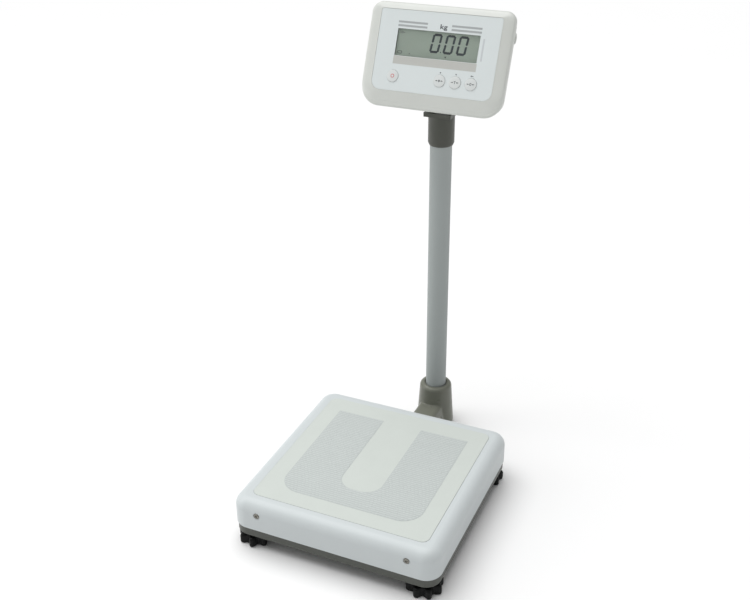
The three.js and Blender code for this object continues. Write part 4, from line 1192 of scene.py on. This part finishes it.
# Keys
def keycaps():
    """Four round caps, crowned in three small steps; gives the height of the crown."""
    radius, foot, top, length = 9.3 * MM, -3 * MM, 0.6 * MM, 3.6 * MM
    master = rod("keycap_master", radius, (0, 0, foot), length, "Z", 72)
    pick(master, "EDGE", level_at(top))
    bevel(0.5 * MM, 4)
    pick(master, "FACE", lambda face: face.normal.z > STRAIGHT)
    for width, rise in ((1.6, 0.22), (2.4, 0.14), (2.4, 0.05)):
        inset(width * MM)
        shift(z=rise * MM)
    leave_edit()
    for key, x in KEYS.items():
        node = KEY_NODES[key]
        cap = another(master, "keycap_" + key)
        move(cap, HEAD @ Matrix.Translation((x * MM, KEY_DROP * MM, 0)))
        smooth(cap, 35)
        fit(cap, body_of(node), key_white, [node])
    bpy.data.objects.remove(master)
    return top + 0.41 * MM


KEY_TOP = keycaps() / MM


def arrows_round(sign):
    """Two small arrows that point at a sign from its left and right."""
    parts = [sign]
    for side in (-1, 1):
        x0, x1 = sorted((side * 6.0, side * 3.6))
        parts.append(flat_bar(x0, x1, -0.4, 0.4))
        parts.append(wedge(1.3, math.pi if side > 0 else 0, side * 3.5, 0))
    return gather(*parts)


def print_on_key(piece, key, name, ink):
    print_on(piece, name, KEY_TOP, ink, KEYS[key], KEY_DROP, body_of(KEY_NODES[key]))


def key_symbols():
    cross = gather(flat_bar(-0.4, 0.4, -2.1, 2.1), flat_bar(-1.6, 1.6, -0.4, 0.4),
                   flat_bar(-1.5, -0.8, -1.3, 1.3), flat_bar(0.8, 1.5, -1.3, 1.3))
    tee = gather(flat_bar(-1.5, 1.5, 1.3, 2.1), flat_bar(-0.4, 0.4, -2.1, 1.4))
    nought = oblong_ring(3.0, 4.2, 0.8, 1.3)
    for key, sign in (("first_key", cross), ("second_key", tee), ("third_key", nought)):
        print_on_key(arrows_round(sign), key, key + "_symbol", dark_ink)
    print_on_key(flat_ring(2.9, 2.0), "power_key", "power_symbol", red_ink)


key_symbols()

# Nodes that keep their CAD mesh: these are made of this, and the small hardware is zinc-plated
CARRIED = {
    "base_beam": rolled_steel, "load_plate": rolled_steel, "lower_spacer": rolled_steel,
    "upper_spacer": rolled_steel, "load_cell": milled_aluminium, "circuit_board": board_green,
    "tilt_bracket": collar_dark,
}


def dress_carried_nodes():
    """Every node that stays gets the finish of what it is made of."""
    for name, node in frame["nodes"].items():
        material = CARRIED.get(name, zinc)
        for material_slot in node.material_slots:
            material_slot.material = material


dress_carried_nodes()


# Studio
def lamp(name, kind, energy, place, aim, **values):
    light = bpy.data.lights.new(name, kind)
    light.energy = energy
    for key, value in values.items():
        setattr(light, key, value)
    piece = bpy.data.objects.new(name, light)
    bpy.context.scene.collection.objects.link(piece)
    turn = (aim - place).to_track_quat("-Z", "Y").to_matrix().to_4x4()
    piece.matrix_world = Matrix.Translation(place) @ turn


def white_floor():
    put_down()
    bpy.ops.mesh.primitive_plane_add(size=240, location=(0, 0, 0))
    floor = named("studio_floor")
    floor.data.materials.append(
        coloured("white_paper_floor", "#f3f3f3", "#f1f1f1", 400, 0.9, 0.02, 2.0, 0.0005))


def air():
    """Dim air lights the scale; past the floor's edge the camera sees white."""
    world = bpy.data.worlds.new("studio_air")
    bpy.context.scene.world = world
    world.use_nodes = True
    tree = world.node_tree
    dim = tree.nodes["Background"]
    dim.inputs["Color"].default_value = (1, 1, 1, 1)
    dim.inputs["Strength"].default_value = 0.395
    white = add(tree, "ShaderNodeBackground", {"Color": (1, 1, 1, 1)})
    seen = add(tree, "ShaderNodeLightPath").outputs["Is Camera Ray"]
    either = add(tree, "ShaderNodeMixShader", {}, {"Fac": seen})
    tree.links.new(dim.outputs["Background"], either.inputs[1])
    tree.links.new(white.outputs["Background"], either.inputs[2])
    tree.links.new(either.outputs["Shader"], tree.nodes["World Output"].inputs["Surface"])


def studio():
    white_floor()
    air()
    middle = Vector((0, 0, 0.3))
    lamp("ceiling_light", "SUN", 2.4, Vector((-0.55, 0.15, 2.3)), middle,
         angle=math.radians(60))
    lamp("window_light", "AREA", 13, Vector((-2.4, -0.8, 1.25)), middle,
         shape="RECTANGLE", size=1.2, size_y=1.8)


studio()
bpy.context.scene.view_settings.view_transform = "Standard"
